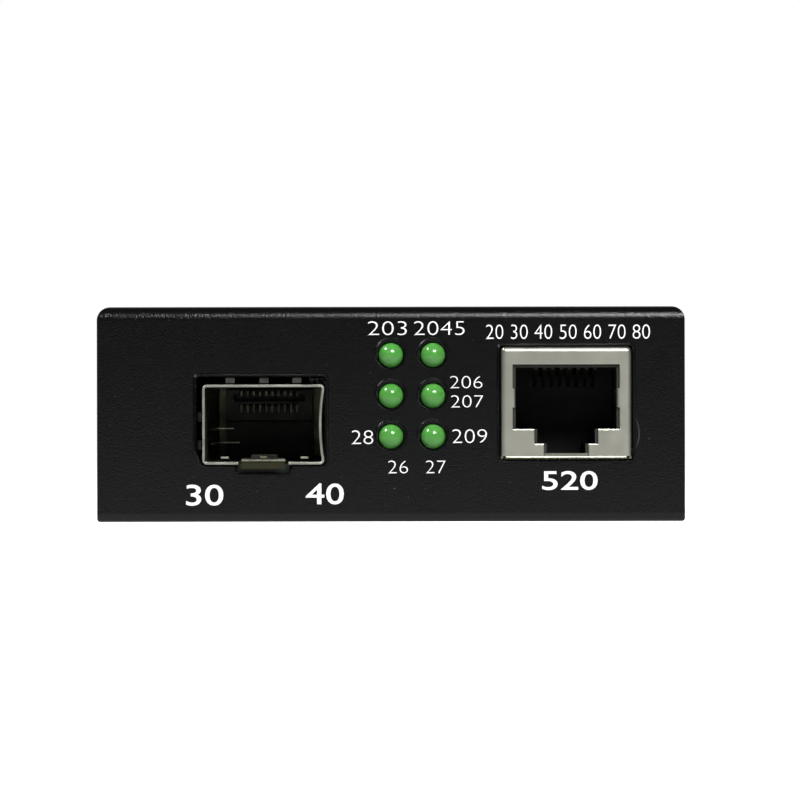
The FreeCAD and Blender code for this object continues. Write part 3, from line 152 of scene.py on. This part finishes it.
class Finish:
    """A material built from nodes, with its textures in object space and sizes in millimetres."""

    def __init__(self, name, colour, roughness, metallic=0.0, **sockets):
        self.material = bpy.data.materials.new(name)
        self.material.use_nodes = True
        self.tree = self.material.node_tree
        self.shader = self.tree.nodes["Principled BSDF"]
        self.shader.inputs["Base Color"].default_value = (*colour, 1)
        self.shader.inputs["Roughness"].default_value = roughness
        self.shader.inputs["Metallic"].default_value = metallic
        for socket, value in sockets.items():
            self.shader.inputs[socket.replace("_", " ")].default_value = value
        self.place = self.add("ShaderNodeTexCoord").outputs["Object"]
        self.colour = colour
        self.normal = None

    def add(self, kind, inputs=None, **settings):
        """A node with its settings, and its inputs given as values or as other nodes' outputs."""
        node = self.tree.nodes.new(kind)
        for key, value in settings.items():
            setattr(node, key, value)
        for key, value in (inputs or {}).items():
            self.feed(value, node.inputs[key])
        return node

    def feed(self, value, socket):
        if isinstance(value, bpy.types.NodeSocket):
            self.tree.links.new(value, socket)
        else:
            socket.default_value = value

    def noise(self, size, detail=2.0, stretch=(1, 1, 1)):
        """Noise whose features are about size millimetres, drawn out along an axis by stretch."""
        scale = [1 / (size * MM * s) for s in stretch]
        spot = self.add("ShaderNodeMapping", {"Vector": self.place, "Scale": scale})
        inputs = {"Vector": spot.outputs[0], "Scale": 1.0, "Detail": detail}
        return self.add("ShaderNodeTexNoise", inputs).outputs["Fac"]

    def mapped(self, value, low, high, start=0.0, end=1.0):
        """A value stretched from one range to another, held at its ends."""
        inputs = {"Value": value, "From Min": start, "From Max": end, "To Min": low, "To Max": high}
        return self.add("ShaderNodeMapRange", inputs).outputs["Result"]

    def uneven(self, size, detail, low, high):
        """Noise whose features are about size millimetres, from a low to a high value."""
        return self.mapped(self.noise(size, detail), low, high, *NOISE_SPAN)

    def calc(self, operation, *values):
        """What a Math node makes of values or other nodes' outputs."""
        return self.add("ShaderNodeMath", dict(enumerate(values)), operation=operation).outputs[0]

    def mixed(self, factor, first, second):
        """A colour between two colours."""
        node = self.add("ShaderNodeMix", data_type="RGBA")
        self.feed(factor, node.inputs[0])
        for socket, colour in ((node.inputs[6], first), (node.inputs[7], second)):
            self.feed(colour if isinstance(colour, bpy.types.NodeSocket) else (*colour, 1), socket)
        return node.outputs[2]

    def tone(self, factor, darker, lighter):
        """The base colour, from darker to lighter times itself with a factor."""
        first = [c * darker for c in self.colour]
        second = [c * lighter for c in self.colour]
        self.paint(self.mixed(factor, first, second))

    def paint(self, colour):
        self.tree.links.new(colour, self.shader.inputs["Base Color"])

    def gloss(self, roughness):
        self.tree.links.new(roughness, self.shader.inputs["Roughness"])

    def soften(self, radius):
        """Edges rounded by a radius in millimetres, in the shading only."""
        self.normal = self.add("ShaderNodeBevel", {"Radius": radius * MM}, samples=4).outputs[0]

    def depth(self, near, far):
        """0 in front of near and 1 behind far, in millimetres behind the front panel's face."""
        split = self.add("ShaderNodeSeparateXYZ", {"Vector": self.place})
        return self.mapped(split.outputs["Y"], 0, 1, FACE_Y + near * MM, FACE_Y + far * MM)

    def bump(self, height, depth):
        """Relief with a depth in millimetres, over what relief there is already."""
        inputs = {"Height": height, "Distance": depth * MM, "Strength": 1.0}
        if self.normal:
            inputs["Normal"] = self.normal
        self.normal = self.add("ShaderNodeBump", inputs).outputs[0]

    def done(self):
        if self.normal:
            self.tree.links.new(self.normal, self.shader.inputs["Normal"])
        return self.material


def powder_coat():
    """Black powder coat: fine orange peel, and a few pale specks of dust."""
    layers = {"Specular_IOR_Level": 0.05, "Coat_Weight": 0.36, "Coat_Roughness": 0.16}
    f = Finish("powder_coat", (0.0012, 0.0013, 0.0015), 0.3, **layers)
    f.soften(0.3)
    f.bump(f.noise(0.6, 2), 0.012)
    f.bump(f.noise(0.2, 2), 0.034)
    f.tree.links.new(f.normal, f.shader.inputs["Coat Normal"])
    f.gloss(f.uneven(4, 3, 0.27, 0.34))
    cloud = f.uneven(9, 3, 0.8, 1.25)
    speck = f.mapped(f.noise(0.35, 1), 0.0, 1.0, 0.79, 0.82)
    base = f.mixed(cloud, (0, 0, 0), f.colour)
    f.paint(f.mixed(speck, base, (0.04, 0.04, 0.036)))
    return f.done()


def plated(name, colour, roughness, edge):
    """Plated sheet: faint rolling lines, cloudy gloss and softly blanked edges."""
    f = Finish(name, colour, roughness, metallic=1.0)
    f.soften(edge)
    f.bump(f.noise(0.12, 3, (1, 1, 18)), 0.0015)
    f.gloss(f.uneven(1.6, 3, roughness - 0.03, roughness + 0.04))
    f.tone(f.noise(2.4, 4), 0.93, 1.05)
    return f.done()


# The lip of the tongue in the cage's floor, where the cage's plate has painted shade
cage_low, cage_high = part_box("module_cage")
CAGE_MIDDLE = (cage_low.x + cage_high.x) / 2
LIP_TOP = 7.5 * MM
LIP_HALF = 2.75 * MM
LIP_FADE = 0.1 * MM


def cage_plate():
    """The cage's plate: bright at its blanked front edge, with painted shade further inside and darker
    painted shade on the tongue's lip.
    """
    f = Finish("cage_plate", (0.5, 0.5, 0.44), 0.3, metallic=1.0)
    f.soften(0.16)
    f.bump(f.noise(0.12, 3, (1, 1, 18)), 0.0015)
    f.gloss(f.uneven(1.6, 3, 0.26, 0.42))
    split = f.add("ShaderNodeSeparateXYZ", {"Vector": f.place})
    under = f.mapped(split.outputs["Z"], 1, 0, LIP_TOP - LIP_FADE, LIP_TOP)
    aside = f.calc("ABSOLUTE", f.calc("SUBTRACT", split.outputs["X"], CAGE_MIDDLE))
    within = f.mapped(aside, 1, 0, LIP_HALF, LIP_HALF + LIP_FADE)
    lip = f.calc("MULTIPLY", within, under)
    streak = f.noise(2.2, 4, (1, 6, 1))
    bright = f.mixed(streak, (0.24, 0.24, 0.21), (0.42, 0.42, 0.37))
    # Painted shade: more than 1 mm behind the panel's face the plate is darker, and on the tongue's lip
    # darker still
    dark = f.mixed(streak, (0.075, 0.075, 0.048), (0.17, 0.17, 0.115))
    lip_shade = f.mixed(streak, (0.02, 0.02, 0.012), (0.042, 0.042, 0.026))
    f.paint(f.mixed(lip, f.mixed(f.depth(0.0, 1.0), bright, dark), lip_shade))
    return f.done()


def moulded(name, colour, roughness, edge=0.08):
    """Moulded plastic: a fine spark-eroded grain, a little uneven in gloss."""
    f = Finish(name, colour, roughness)
    f.soften(edge)
    f.bump(f.noise(0.09, 2), 0.004)
    f.gloss(f.uneven(2.2, 3, roughness - 0.06, roughness + 0.08))
    f.tone(f.noise(3, 3), 0.8, 1.25)
    return f.done()


def deep_moulding():
    """Black moulding, with painted shade making its inside near black."""
    f = Finish("port_moulding", (0.02, 0.02, 0.018), 0.6, Specular_IOR_Level=0.2)
    f.soften(0.08)
    f.bump(f.noise(0.09, 2), 0.004)
    f.gloss(f.uneven(2.2, 3, 0.54, 0.68))
    front = f.mixed(f.noise(3, 3), (0.012, 0.012, 0.009), (0.026, 0.026, 0.022))
    # Painted shade: from 0.4 to 4 mm behind the panel's face the colour goes to near black
    f.paint(f.mixed(f.depth(0.4, 4), front, (0.005, 0.005, 0.0048)))
    return f.done()


def bright_metal(name, colour, roughness, edge=0.05):
    """Small bright metal parts, with drawing marks and slight tarnish."""
    f = Finish(name, colour, roughness, metallic=1.0)
    f.soften(edge)
    f.bump(f.noise(0.1, 2, (1, 6, 1)), 0.001)
    f.gloss(f.uneven(0.8, 3, roughness - 0.06, roughness + 0.12))
    f.tone(f.noise(0.9, 4), 0.8, 1.12)
    return f.done()


def solder_mask():
    """Green board: copper pours and tracks showing through the mask, and painted shade along its front edge.
    """
    f = Finish("solder_mask", (0.004, 0.035, 0.012), 0.36, Coat_Weight=0.3)
    cells = f.add("ShaderNodeMapping", {"Vector": f.place, "Scale": (320, 320, 320)})
    tracks = f.add("ShaderNodeTexBrick", {"Vector": cells.outputs[0], "Scale": 1.0, "Mortar Size": 0.03})
    pours = f.mapped(f.noise(9, 0), 0, 1, 0.5, 0.52)
    copper = f.mixed(tracks.outputs["Fac"], f.colour, (0.01, 0.07, 0.02))
    mask = f.mixed(pours, copper, (0.007, 0.05, 0.016))
    # Painted shade: the board is near black within 4.5 mm of the panel's face and turns green by 5.5 mm
    f.paint(f.mixed(f.depth(5.5, 4.5), mask, (0.004, 0.0045, 0.0025)))
    f.bump(tracks.outputs["Fac"], 0.03)
    f.gloss(f.uneven(3, 2, 0.26, 0.4))
    return f.done()


def green_lens():
    """Diffusing green epoxy, slightly uneven."""
    clear = {"IOR": 1.45, "Transmission_Weight": 0.1}
    milky = {"Subsurface_Weight": 0.35, "Subsurface_Radius": (0.3, 1.0, 0.3), "Subsurface_Scale": 0.6 * MM}
    f = Finish("green_lens", (0.064, 0.25, 0.044), 0.17, **clear, **milky)
    f.tone(f.noise(0.9, 3), 0.85, 1.15)
    f.gloss(f.uneven(0.5, 2, 0.13, 0.17))
    f.bump(f.noise(0.7, 2), 0.002)
    return f.done()


def white_ink():
    """Screen-printed white ink, thin and slightly uneven."""
    f = Finish("white_ink", (0.76, 0.76, 0.75), 0.5)
    f.tone(f.noise(0.25, 3), 0.86, 1.06)
    f.gloss(f.uneven(0.4, 2, 0.42, 0.6))
    f.bump(f.noise(0.14, 2), 0.004)
    return f.done()


def anodised():
    """Black anodised extrusion with die lines along its fins."""
    f = Finish("anodised", (0.02, 0.02, 0.022), 0.42, metallic=0.6)
    f.soften(0.06)
    f.bump(f.noise(0.1, 2, (1, 30, 1)), 0.004)
    f.gloss(f.uneven(1.5, 2, 0.34, 0.5))
    f.tone(f.noise(4, 2), 0.8, 1.3)
    return f.done()


def pale_floor():
    """Matt white floor that stays white to the camera and keeps the object's shadow, with a painted pool of
    light round the object: paler there, and glowing to metal and glass.
    """
    f = Finish("pale_floor", (0.6, 0.6, 0.6), 0.9, Specular_IOR_Level=0.1)
    reach = f.add("ShaderNodeVectorMath", {0: f.place}, operation="LENGTH").outputs["Value"]
    # Painted pool of light: near the object the floor is paler and glows to metal and glass
    near = f.mapped(reach, 1, 0, *LIGHT_POOL_REACH)
    f.paint(f.mixed(near, (0.2, 0.2, 0.2), (0.5, 0.5, 0.5)))
    camera, sent = seen_rays(f.tree)
    pool_glow = f.calc("MULTIPLY", f.calc("MULTIPLY", sent, near), FLOOR_POOL_GLOW)
    total = f.calc("MULTIPLY_ADD", camera, FLOOR_WHITE, pool_glow)
    f.shader.inputs["Emission Color"].default_value = (1, 1, 1, 1)
    f.tree.links.new(total, f.shader.inputs["Emission Strength"])
    return f.done()


FINISHES = {
    "coat": powder_coat(),
    "rub": moulded("rubbed_coat", (0.013, 0.012, 0.01), 0.45),
    "burr": bright_metal("blanked_edge", (0.27, 0.27, 0.22), 0.36),
    # Painted shade: the dark olive strips in the gaps at the shell's foot and key fold
    "olive": moulded("painted_shade_fold", (0.03, 0.03, 0.013), 0.4),
    "nickel": plated("satin_nickel", (0.325, 0.325, 0.278), 0.39, 0.24),
    "cage": cage_plate(),
    "spring": bright_metal("spring_steel", (0.042, 0.042, 0.037), 0.42),
    # The contacts' gold is painted nearly black: painted shade deep inside the port
    "gold": bright_metal("gold_in_painted_shade", (0.036, 0.034, 0.027), 0.48),
    "port": deep_moulding(),
    "lance": bright_metal("lance_steel", (0.3, 0.3, 0.24), 0.35),
    "rail": bright_metal("rail_steel", (0.62, 0.62, 0.52), 0.3),
    "host": moulded("host_moulding", (0.035, 0.035, 0.031), 0.45),
    "host_lead": bright_metal("host_lead", (0.2, 0.2, 0.16), 0.45),
    "tin": bright_metal("tin_plate", (0.7, 0.7, 0.69), 0.3),
    "zinc": bright_metal("zinc_plate", (0.62, 0.64, 0.66), 0.32),
    "brass": bright_metal("turned_brass", (0.7, 0.52, 0.22), 0.3),
    "can": bright_metal("drawn_can", (0.78, 0.78, 0.79), 0.24),
    "black_screw": moulded("black_oxide", (0.015, 0.015, 0.017), 0.36),
    "black": moulded("black_moulding", (0.012, 0.012, 0.013), 0.42),
    "gloss_black": moulded("inlet_moulding", (0.014, 0.014, 0.015), 0.3),
    "chip": moulded("chip_epoxy", (0.022, 0.022, 0.024), 0.55),
    "ferrite": moulded("ferrite", (0.05, 0.05, 0.052), 0.6),
    "pad": moulded("thermal_pad", (0.3, 0.32, 0.34), 0.75),
    "board": solder_mask(),
    "sink": anodised(),
    "lens": green_lens(),
    "ink": white_ink(),
}

NODE_FINISH = {
    "chassis": "coat", "top_cover": "coat", "cover_screws": "black_screw",
    "board_standoffs": "brass", "board_screws": "zinc", "circuit_board": "board",
    "copper_port_shell": "nickel", "copper_port_housing": "port", "copper_port_contacts": "gold",
    "module_cage": "cage", "cage_spring_collar": "spring",
    "module_connector": "host", "module_connector_leads": "host_lead",
    "light_holder": "black", "light_leads": "tin",
    "power_inlet": "gloss_black", "power_inlet_pin": "tin", "power_inlet_spring": "spring",
    "switch_chip": "chip", "thermal_pad": "pad", "heat_sink": "sink",
    "lan_transformer": "chip", "lan_transformer_leads": "tin",
    "regulator_chip": "chip", "memory_chip": "chip", "small_chip_leads": "tin",
    "clock_crystal": "zinc", "power_inductor": "ferrite",
}
for node in nodes:
    if node.startswith("capacitor_base"):
        NODE_FINISH[node] = "black"
    elif node.startswith("capacitor"):
        NODE_FINISH[node] = "can"
    elif node.startswith("light_") and node not in NODE_FINISH:
        NODE_FINISH[node] = "lens"


def dress_nodes():
    """The finish of each piece that is shown as it was built."""
    for name, node in nodes.items():
        node.data.materials.clear()
        node.data.materials.append(FINISHES[NODE_FINISH[name]])


def add_piece(name, mesh, finish):
    """A new piece in the object's frame, riding on it."""
    piece = bpy.data.objects.new(name, mesh)
    bpy.context.scene.collection.objects.link(piece)
    mesh.materials.clear()
    mesh.materials.append(FINISHES[finish])
    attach(piece, "root")
    return piece


def meshed(mesh, name, smooth=True):
    """The mesh of a bmesh, with its faces turned outward."""
    bmesh.ops.recalc_face_normals(mesh, faces=mesh.faces)
    for face in mesh.faces:
        face.smooth = smooth
    data = bpy.data.meshes.new(name)
    mesh.to_mesh(data)
    mesh.free()
    return data


def lathe(profile, centre, sides):
    """A closed surface about the Y axis through centre, from (radius, y) points that start and end on it."""
    mesh = bmesh.new()
    rings = []
    for radius, y in profile:
        if radius == 0:
            rings.append([mesh.verts.new((centre.x, y, centre.z))])
            continue
        ring = []
        for i in range(sides):
            angle = 2 * math.pi * i / sides
            spot = (centre.x + radius * math.cos(angle), y, centre.z + radius * math.sin(angle))
            ring.append(mesh.verts.new(spot))
        rings.append(ring)
    for low, high in zip(rings, rings[1:]):
        for i in range(sides):
            k = (i + 1) % sides
            corners = [low[i % len(low)], low[k % len(low)]]
            corners += [high[k % len(high)], high[i % len(high)]]
            mesh.faces.new(list(dict.fromkeys(corners)))
    return meshed(mesh, "lathe")


LIGHT_RADIUS = 1.5 * MM
LIGHT_RIM = 1.0 * MM  # length of the rim at the back
DOME_STEPS = 12
DOME_SIDES = 40


def make_lights():
    """Each light as a smooth dome on its barrel and rim."""
    for name in nodes:
        if NODE_FINISH[name] != "lens":
            continue
        low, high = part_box(name)
        centre = (low + high) / 2
        rim = (high.x - low.x) / 2
        profile = [(0, low.y)]
        for i in range(1, DOME_STEPS + 1):
            tilt = math.radians(90 * i / DOME_STEPS)
            profile.append((LIGHT_RADIUS * math.sin(tilt), low.y + LIGHT_RADIUS * (1 - math.cos(tilt))))
        neck = high.y - LIGHT_RIM
        profile += [(LIGHT_RADIUS, neck), (rim, neck), (rim, high.y), (0, high.y)]
        dome = lathe(profile, centre, DOME_SIDES)
        piece = add_piece("dome_" + name.removeprefix("light_"), dome, "lens")
        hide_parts(name)


# The coat's fat edge round each opening: across the edge and out of the face, in millimetres
EDGE_PROFILE = ((0.05, -0.03), (0.05, 0.004), (0.16, 0.014), (0.34, 0.019), (0.54, 0.012), (0.72, -0.03))


def swept_edge(name, outline, share):
    """A bead of coat on the panel's face, just outside a closed outline of (x, z) points."""
    count = len(outline)
    sides = []
    for i, here in enumerate(outline):
        before, after = outline[i - 1], outline[(i + 1) % count]
        tangents = [(here - before).normalized(), (after - here).normalized()]
        normals = [Vector((t.y, -t.x)) for t in tangents]
        mitre = (normals[0] + normals[1]) / (1 + normals[0].dot(normals[1]))
        sides.append(mitre)
    mesh = bmesh.new()
    rings = []
    for here, side in zip(outline, sides):
        ring = []
        for out, proud in EDGE_PROFILE:
            spot = here + side * out * share * MM
            ring.append(mesh.verts.new((spot.x, FACE_Y - proud * MM, spot.y)))
        rings.append(ring)
    steps = len(EDGE_PROFILE)
    for i in range(count):
        low, high = rings[i], rings[(i + 1) % count]
        for k in range(steps):
            mesh.faces.new((low[k], low[(k + 1) % steps], high[(k + 1) % steps], high[k]))
    add_piece(name, meshed(mesh, name), "coat")


def rounded(points, radius, steps=4):
    """A closed anticlockwise outline of (x, z) points in millimetres, with its corners rounded."""
    outline = []
    count = len(points)
    for i in range(count):
        here = Vector(points[i])
        before = (Vector(points[i - 1]) - here).normalized()
        after = (Vector(points[(i + 1) % count]) - here).normalized()
        for k in range(steps + 1):
            t = k / steps
            spot = here + before * radius * (1 - t) ** 2 + after * radius * t ** 2
            outline.append(spot * MM)
    return outline


def ribbon(path, low_x, high_x, thickness):
    """A strip of sheet across X along a path of (y, z) points, in millimetres, as part of one mesh."""
    outline = []
    back = []
    for i, (y, z) in enumerate(path):
        y0, z0 = path[max(i - 1, 0)]
        y1, z1 = path[min(i + 1, len(path) - 1)]
        along = Vector((y1 - y0, z1 - z0)).normalized()
        outline.append(Vector((y, z)))
        back.append(Vector((y + along.y * thickness, z - along.x * thickness)))
    outline += reversed(back)
    count = len(outline)
    corners = [Vector((x, y, z)) * MM for x in (low_x, high_x) for y, z in outline]
    faces = [tuple(range(count)), tuple(range(2 * count - 1, count - 1, -1))]
    for i in range(count):
        k = (i + 1) % count
        faces.append((i, i + count, k + count, k))
    return corners, faces


def joined(name, strips, finish):
    """One piece out of several strips, each given by its corners and faces."""
    mesh = bmesh.new()
    for corners, faces in strips:
        spots = [mesh.verts.new(corner) for corner in corners]
        for face in faces:
            mesh.faces.new([spots[k] for k in face])
    add_piece(name, meshed(mesh, name, smooth=False), finish)


# The shell of the copper port, in millimetres
SHELL_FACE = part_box("copper_port_shell")[0].y / MM - 0.002  # just in front of it
LEDGES = ((14.75, 17.31, 11.16), (25.01, 27.57, 11.16), (17.36, 18.46, 9.38), (23.86, 24.96, 9.38))
BLANKED_EDGE = (0.06, 0.14)  # how far an edge stands out of the face, and its height
FOOT_SPAN = (13.9, 28.42)
FOOT_LEVELS = (7.56, 7.74, 7.88)  # underside, fold and top of the shell's foot
FOOT_LEAN = 0.012
KEY_SPAN = (18.5, 23.82)
KEY_FOLD = ((0.1, 7.9), (0.3, 8.25))  # depth from the face, and height
STRIP = 0.05


def make_shell_edges():
    """The shell's blanked edges over its ledges, and dark strips of painted shade at the fold along its foot
    and in its key.
    """
    underside, fold, top = FOOT_LEVELS
    proud, rise = BLANKED_EDGE
    edges = []
    for low, high, z in (*LEDGES, (*FOOT_SPAN, top)):
        edges.append(ribbon(((SHELL_FACE - proud, z - rise), (SHELL_FACE, z)), low, high, STRIP))
    joined("shell_edges", edges, "burr")
    near = SHELL_FACE - FOOT_LEAN
    key_fold = [(SHELL_FACE + depth, z) for depth, z in KEY_FOLD]
    # Painted shade: dark strips at the foot's fold and in the key's fold
    folds = [ribbon(((near, underside), (near, fold)), *FOOT_SPAN, STRIP)]
    folds.append(ribbon(key_fold, *KEY_SPAN, STRIP))
    joined("shell_fold", folds, "olive")


# The rubbed arc, in millimetres
RUB_CENTRE = Vector((26.26, 10.64))
RUB_RADIUS = 3.72
RUB_SPAN = math.radians(36)
RUB_STEPS = 24
RUB_WIDTHS = (0.01, 0.07)  # at its ends, and what its middle has more
RUB_LEVELS = (0.004, -0.02)  # its front and back, out of the face


def make_rub():
    """The arc that a plug's boot has rubbed beside the port."""
    corners, faces = [], []
    for i in range(RUB_STEPS + 1):
        angle = RUB_SPAN * (2 * i / RUB_STEPS - 1)
        width = RUB_WIDTHS[1] * math.cos(angle / RUB_SPAN * math.pi / 2) + RUB_WIDTHS[0]
        for radius in (RUB_RADIUS - width, RUB_RADIUS + width):
            spot = RUB_CENTRE + Vector((math.cos(angle), math.sin(angle))) * radius
            for proud in RUB_LEVELS:
                corners.append(Vector((spot.x * MM, FACE_Y - proud * MM, spot.y * MM)))
    for i in range(RUB_STEPS):
        a, b = 4 * i, 4 * i + 4
        for k, m in ((0, 2), (2, 3), (3, 1), (1, 0)):
            faces.append((a + k, a + m, b + m, b + k))
    faces += [(0, 1, 3, 2), tuple(4 * RUB_STEPS + k for k in (2, 3, 1, 0))]
    joined("port_rub", [(corners, faces)], "rub")


# The inside of the cage, in millimetres; a path's points are (y, z)
LANCES = (-20.17, -10.5)
LANCE_HALF = 0.47
LANCE = ((-44.4, 7.88), (-43.4, 7.76), (-41.6, 7.26))
LANCE_SHEET = 0.26
LATCH = ((-45.6, 7.3), (-44.6, 7.6), (-43.2, 7.95), (-41.6, 8.1), (-40.4, 7.9), (-39.2, 7.3))
LATCH_SPAN = (-17.0, -13.9)
LATCH_NOSE = ((-45.0, 7.9), (-44.6, 8.02), (-44.2, 7.9))
LATCH_NOSE_SPAN = (-15.9, -15.1)
LATCH_SHEET = 0.25
RAILS = ((-20.4, 11.14), (-19.6, 9.32))  # how far each reaches across x, and its height
RAIL_ENDS = (-26.0, -6.7, -4.4)  # front end, the place it turns across, and the connector's stem
RAIL_PROUD = 0.1
RAIL_SHEET = 0.15
CAGE_SIDE = -22.47


def make_cage_details():
    """The cage's pressed lances and latch, and two rails from its left wall to the connector's stem."""
    lances = [ribbon(LANCE, x - LANCE_HALF, x + LANCE_HALF, LANCE_SHEET) for x in LANCES]
    latch = ribbon(LATCH, *LATCH_SPAN, LATCH_SHEET)
    nose = ribbon(LATCH_NOSE, *LATCH_NOSE_SPAN, LATCH_SHEET)
    joined("cage_lances", [*lances, latch, nose], "lance")
    start, turn, stem = RAIL_ENDS
    rails = []
    for reach, z in RAILS:
        rails.append(ribbon(((turn, z), (stem, z)), CAGE_SIDE, reach, RAIL_SHEET))
        rails.append(ribbon(((start, z), (turn, z)), CAGE_SIDE, CAGE_SIDE + RAIL_PROUD, RAIL_SHEET))
    joined("cage_rails", rails, "rail")


# The front panel's cut-outs as (x, z) points, in millimetres
CAGE_CUT_OUT = (
    (-22.775, 6.85), (-18.56, 6.85), (-18.56, 5.9), (-12.26, 5.9), (-12.26, 6.85),
    (-7.925, 6.85), (-7.925, 17.56), (-23.495, 17.56), (-23.495, 8.55),
)
JACK_CUT_OUT = ((13.13, 7.42), (29.19, 7.42), (29.19, 21.24), (13.13, 21.24))
CUT_OUT_CORNER = 0.35
CAGE_BEAD = 0.7  # widths of the beads, as parts of the full one
JACK_BEAD = 0.6
LIGHT_BEAD = 0.45
LIGHT_HOLE = 1.75 * MM
LIGHT_HOLE_RISE = 0.17 * MM  # the holes sit a little over the lights
LIGHT_HOLE_SIDES = 32


def make_edges():
    """The beads of coat round the openings of the front panel."""
    swept_edge("edge_cage", rounded(CAGE_CUT_OUT, CUT_OUT_CORNER), CAGE_BEAD)
    swept_edge("edge_jack", rounded(JACK_CUT_OUT, CUT_OUT_CORNER), JACK_BEAD)
    for name in nodes:
        if NODE_FINISH[name] != "lens":
            continue
        low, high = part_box(name)
        middle = Vector(((low.x + high.x) / 2, (low.z + high.z) / 2 + LIGHT_HOLE_RISE))
        ring = []
        for i in range(LIGHT_HOLE_SIDES):
            angle = 2 * math.pi * i / LIGHT_HOLE_SIDES
            ring.append(middle + Vector((math.cos(angle), math.sin(angle))) * LIGHT_HOLE)
        swept_edge("edge_" + name.removeprefix("light_"), ring, LIGHT_BEAD)


# The cover screws and their recesses, in millimetres
SCREW_BODY = ((2.75, 0), (1.45, 1.3), (1.45, 4.75), (1.2, 5.0))  # radius, and depth from the head
SCREW_SIDES = 40
CROSS_REACH = 1.35
CROSS_HALF = 0.36
CROSS_DEPTH = 1.1
CROSS_TAPER = 0.55  # the size of its floor, as part of its mouth


def cross(share):
    """The outline of a cross recess, as part of its full size."""
    a, b = CROSS_HALF * share, CROSS_REACH * share
    arm = ((b, -a), (b, a), (a, a))
    outline = []
    for cos, sin in ((1, 0), (0, 1), (-1, 0), (0, -1)):
        outline += [(u * cos - v * sin, u * sin + v * cos) for u, v in arm]
    return outline


def make_screws():
    """The two cover screws with their cross recesses."""
    low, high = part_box("cover_screws")
    middle = (low + high) / 2
    mesh = bmesh.new()

    def ring(points, side, depth):
        x = side * (high.x - depth * MM)
        return [mesh.verts.new((x, middle.y + u * MM, middle.z + v * MM)) for u, v in points]

    def wall(first, second):
        for i in range(len(first)):
            k = (i + 1) % len(first)
            mesh.faces.new((first[i], first[k], second[k], second[i]))

    turns = [2 * math.pi * i / SCREW_SIDES for i in range(SCREW_SIDES)]
    for side in (-1, 1):
        rings = []
        for radius, depth in SCREW_BODY:
            rings.append(ring([(radius * math.cos(t), radius * math.sin(t)) for t in turns], side, depth))
        for first, second in zip(rings, rings[1:]):
            wall(first, second)
        mesh.faces.new(rings[-1])
        mouth = ring(cross(1), side, 0)
        floor = ring(cross(CROSS_TAPER), side, CROSS_DEPTH)
        wall(mouth, floor)
        mesh.faces.new(floor)
        edges = []
        for loop in (rings[0], mouth):
            for i in range(len(loop)):
                pair = (loop[i], loop[(i + 1) % len(loop)])
                edges.append(mesh.edges.get(pair))
        bmesh.ops.triangle_fill(mesh, edges=edges, use_beauty=True)
    data = meshed(mesh, "crossed_screws", smooth=False)
    piece = add_piece("crossed_screws", data, "black_screw")
    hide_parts("cover_screws")


# Marks: text, middle in x and z, height of the figures, whole width and thickening, in millimetres
PRINT_THICKNESS = 0.012
PRINT_SINK = 0.001
MARK_WEIGHT = 0.33
MARKS = (
    ("203", -0.42, 23.36, 1.69, 4.7, -0.1),
    ("2045", 5.86, 23.36, 1.69, 6.1, -0.1),
    ("20 30 40 50 60 70 80", 21.4, 22.9, 1.75, 19.8, -0.09),
    ("206", 9.1, 16.83, 1.5, 3.9, -0.1),
    ("207", 9.2, 14.5, 1.5, 3.9, -0.1),
    ("28", -3.45, 10.2, 1.69, 2.6, -0.1),
    ("209", 9.5, 10.3, 1.69, 4.2, -0.1),
    ("26", 0.85, 6.6, 1.57, 2.4, -0.1),
    ("27", 5.4, 6.6, 1.57, 2.4, -0.1),
    ("30", -22.5, 3.25, 2.54, 4.5, 0.05),
    ("40", -8.0, 3.37, 2.54, 4.6, 0.05),
    ("520", 21.6, 4.94, 2.3, 6.7, 0.05),
)


def make_marks():
    """White numbers printed on the front panel."""
    for i, (text, x, z, height, width, weight) in enumerate(MARKS):
        curve = bpy.data.curves.new("mark", "FONT")
        curve.body = text
        curve.extrude = 0.5
        curve.offset = weight * MARK_WEIGHT / height
        curve.resolution_u = 4
        holder = bpy.data.objects.new("mark", curve)
        bpy.context.scene.collection.objects.link(holder)
        bpy.context.view_layer.update()
        graph = bpy.context.evaluated_depsgraph_get()
        mesh = bpy.data.meshes.new_from_object(holder.evaluated_get(graph))
        bpy.data.objects.remove(holder)
        xs = [v.co.x for v in mesh.vertices]
        ys = [v.co.y for v in mesh.vertices]
        across = width * MM / (max(xs) - min(xs))
        up = height * MM / (max(ys) - min(ys))
        for v in mesh.vertices:
            px = x * MM + (v.co.x - (max(xs) + min(xs)) / 2) * across
            pz = z * MM + (v.co.y - (max(ys) + min(ys)) / 2) * up
            py = FACE_Y - PRINT_THICKNESS * MM * (0.5 + v.co.z) + PRINT_SINK * MM
            v.co = (px, py, pz)
        add_piece("mark_%02d" % i, mesh, "ink")


def make_stage():
    """A wide pale floor."""
    mesh = bmesh.new()
    bmesh.ops.create_grid(mesh, x_segments=1, y_segments=1, size=FLOOR_HALF)
    data = bpy.data.meshes.new("floor")
    mesh.to_mesh(data)
    mesh.free()
    floor = bpy.data.objects.new("floor", data)
    bpy.context.scene.collection.objects.link(floor)
    data.materials.append(pale_floor())


bpy.context.scene.view_settings.view_transform = "Standard"
make_camera()
make_room()
make_lamp("key", KEY_FROM, KEY_POWER, KEY_SIZE)
make_lamp("side", SIDE_FROM, SIDE_POWER, SIDE_SIZE)
make_stage()
dress_nodes()
make_lights()
make_edges()
make_cage_details()
make_shell_edges()
make_rub()
make_screws()
make_marks()
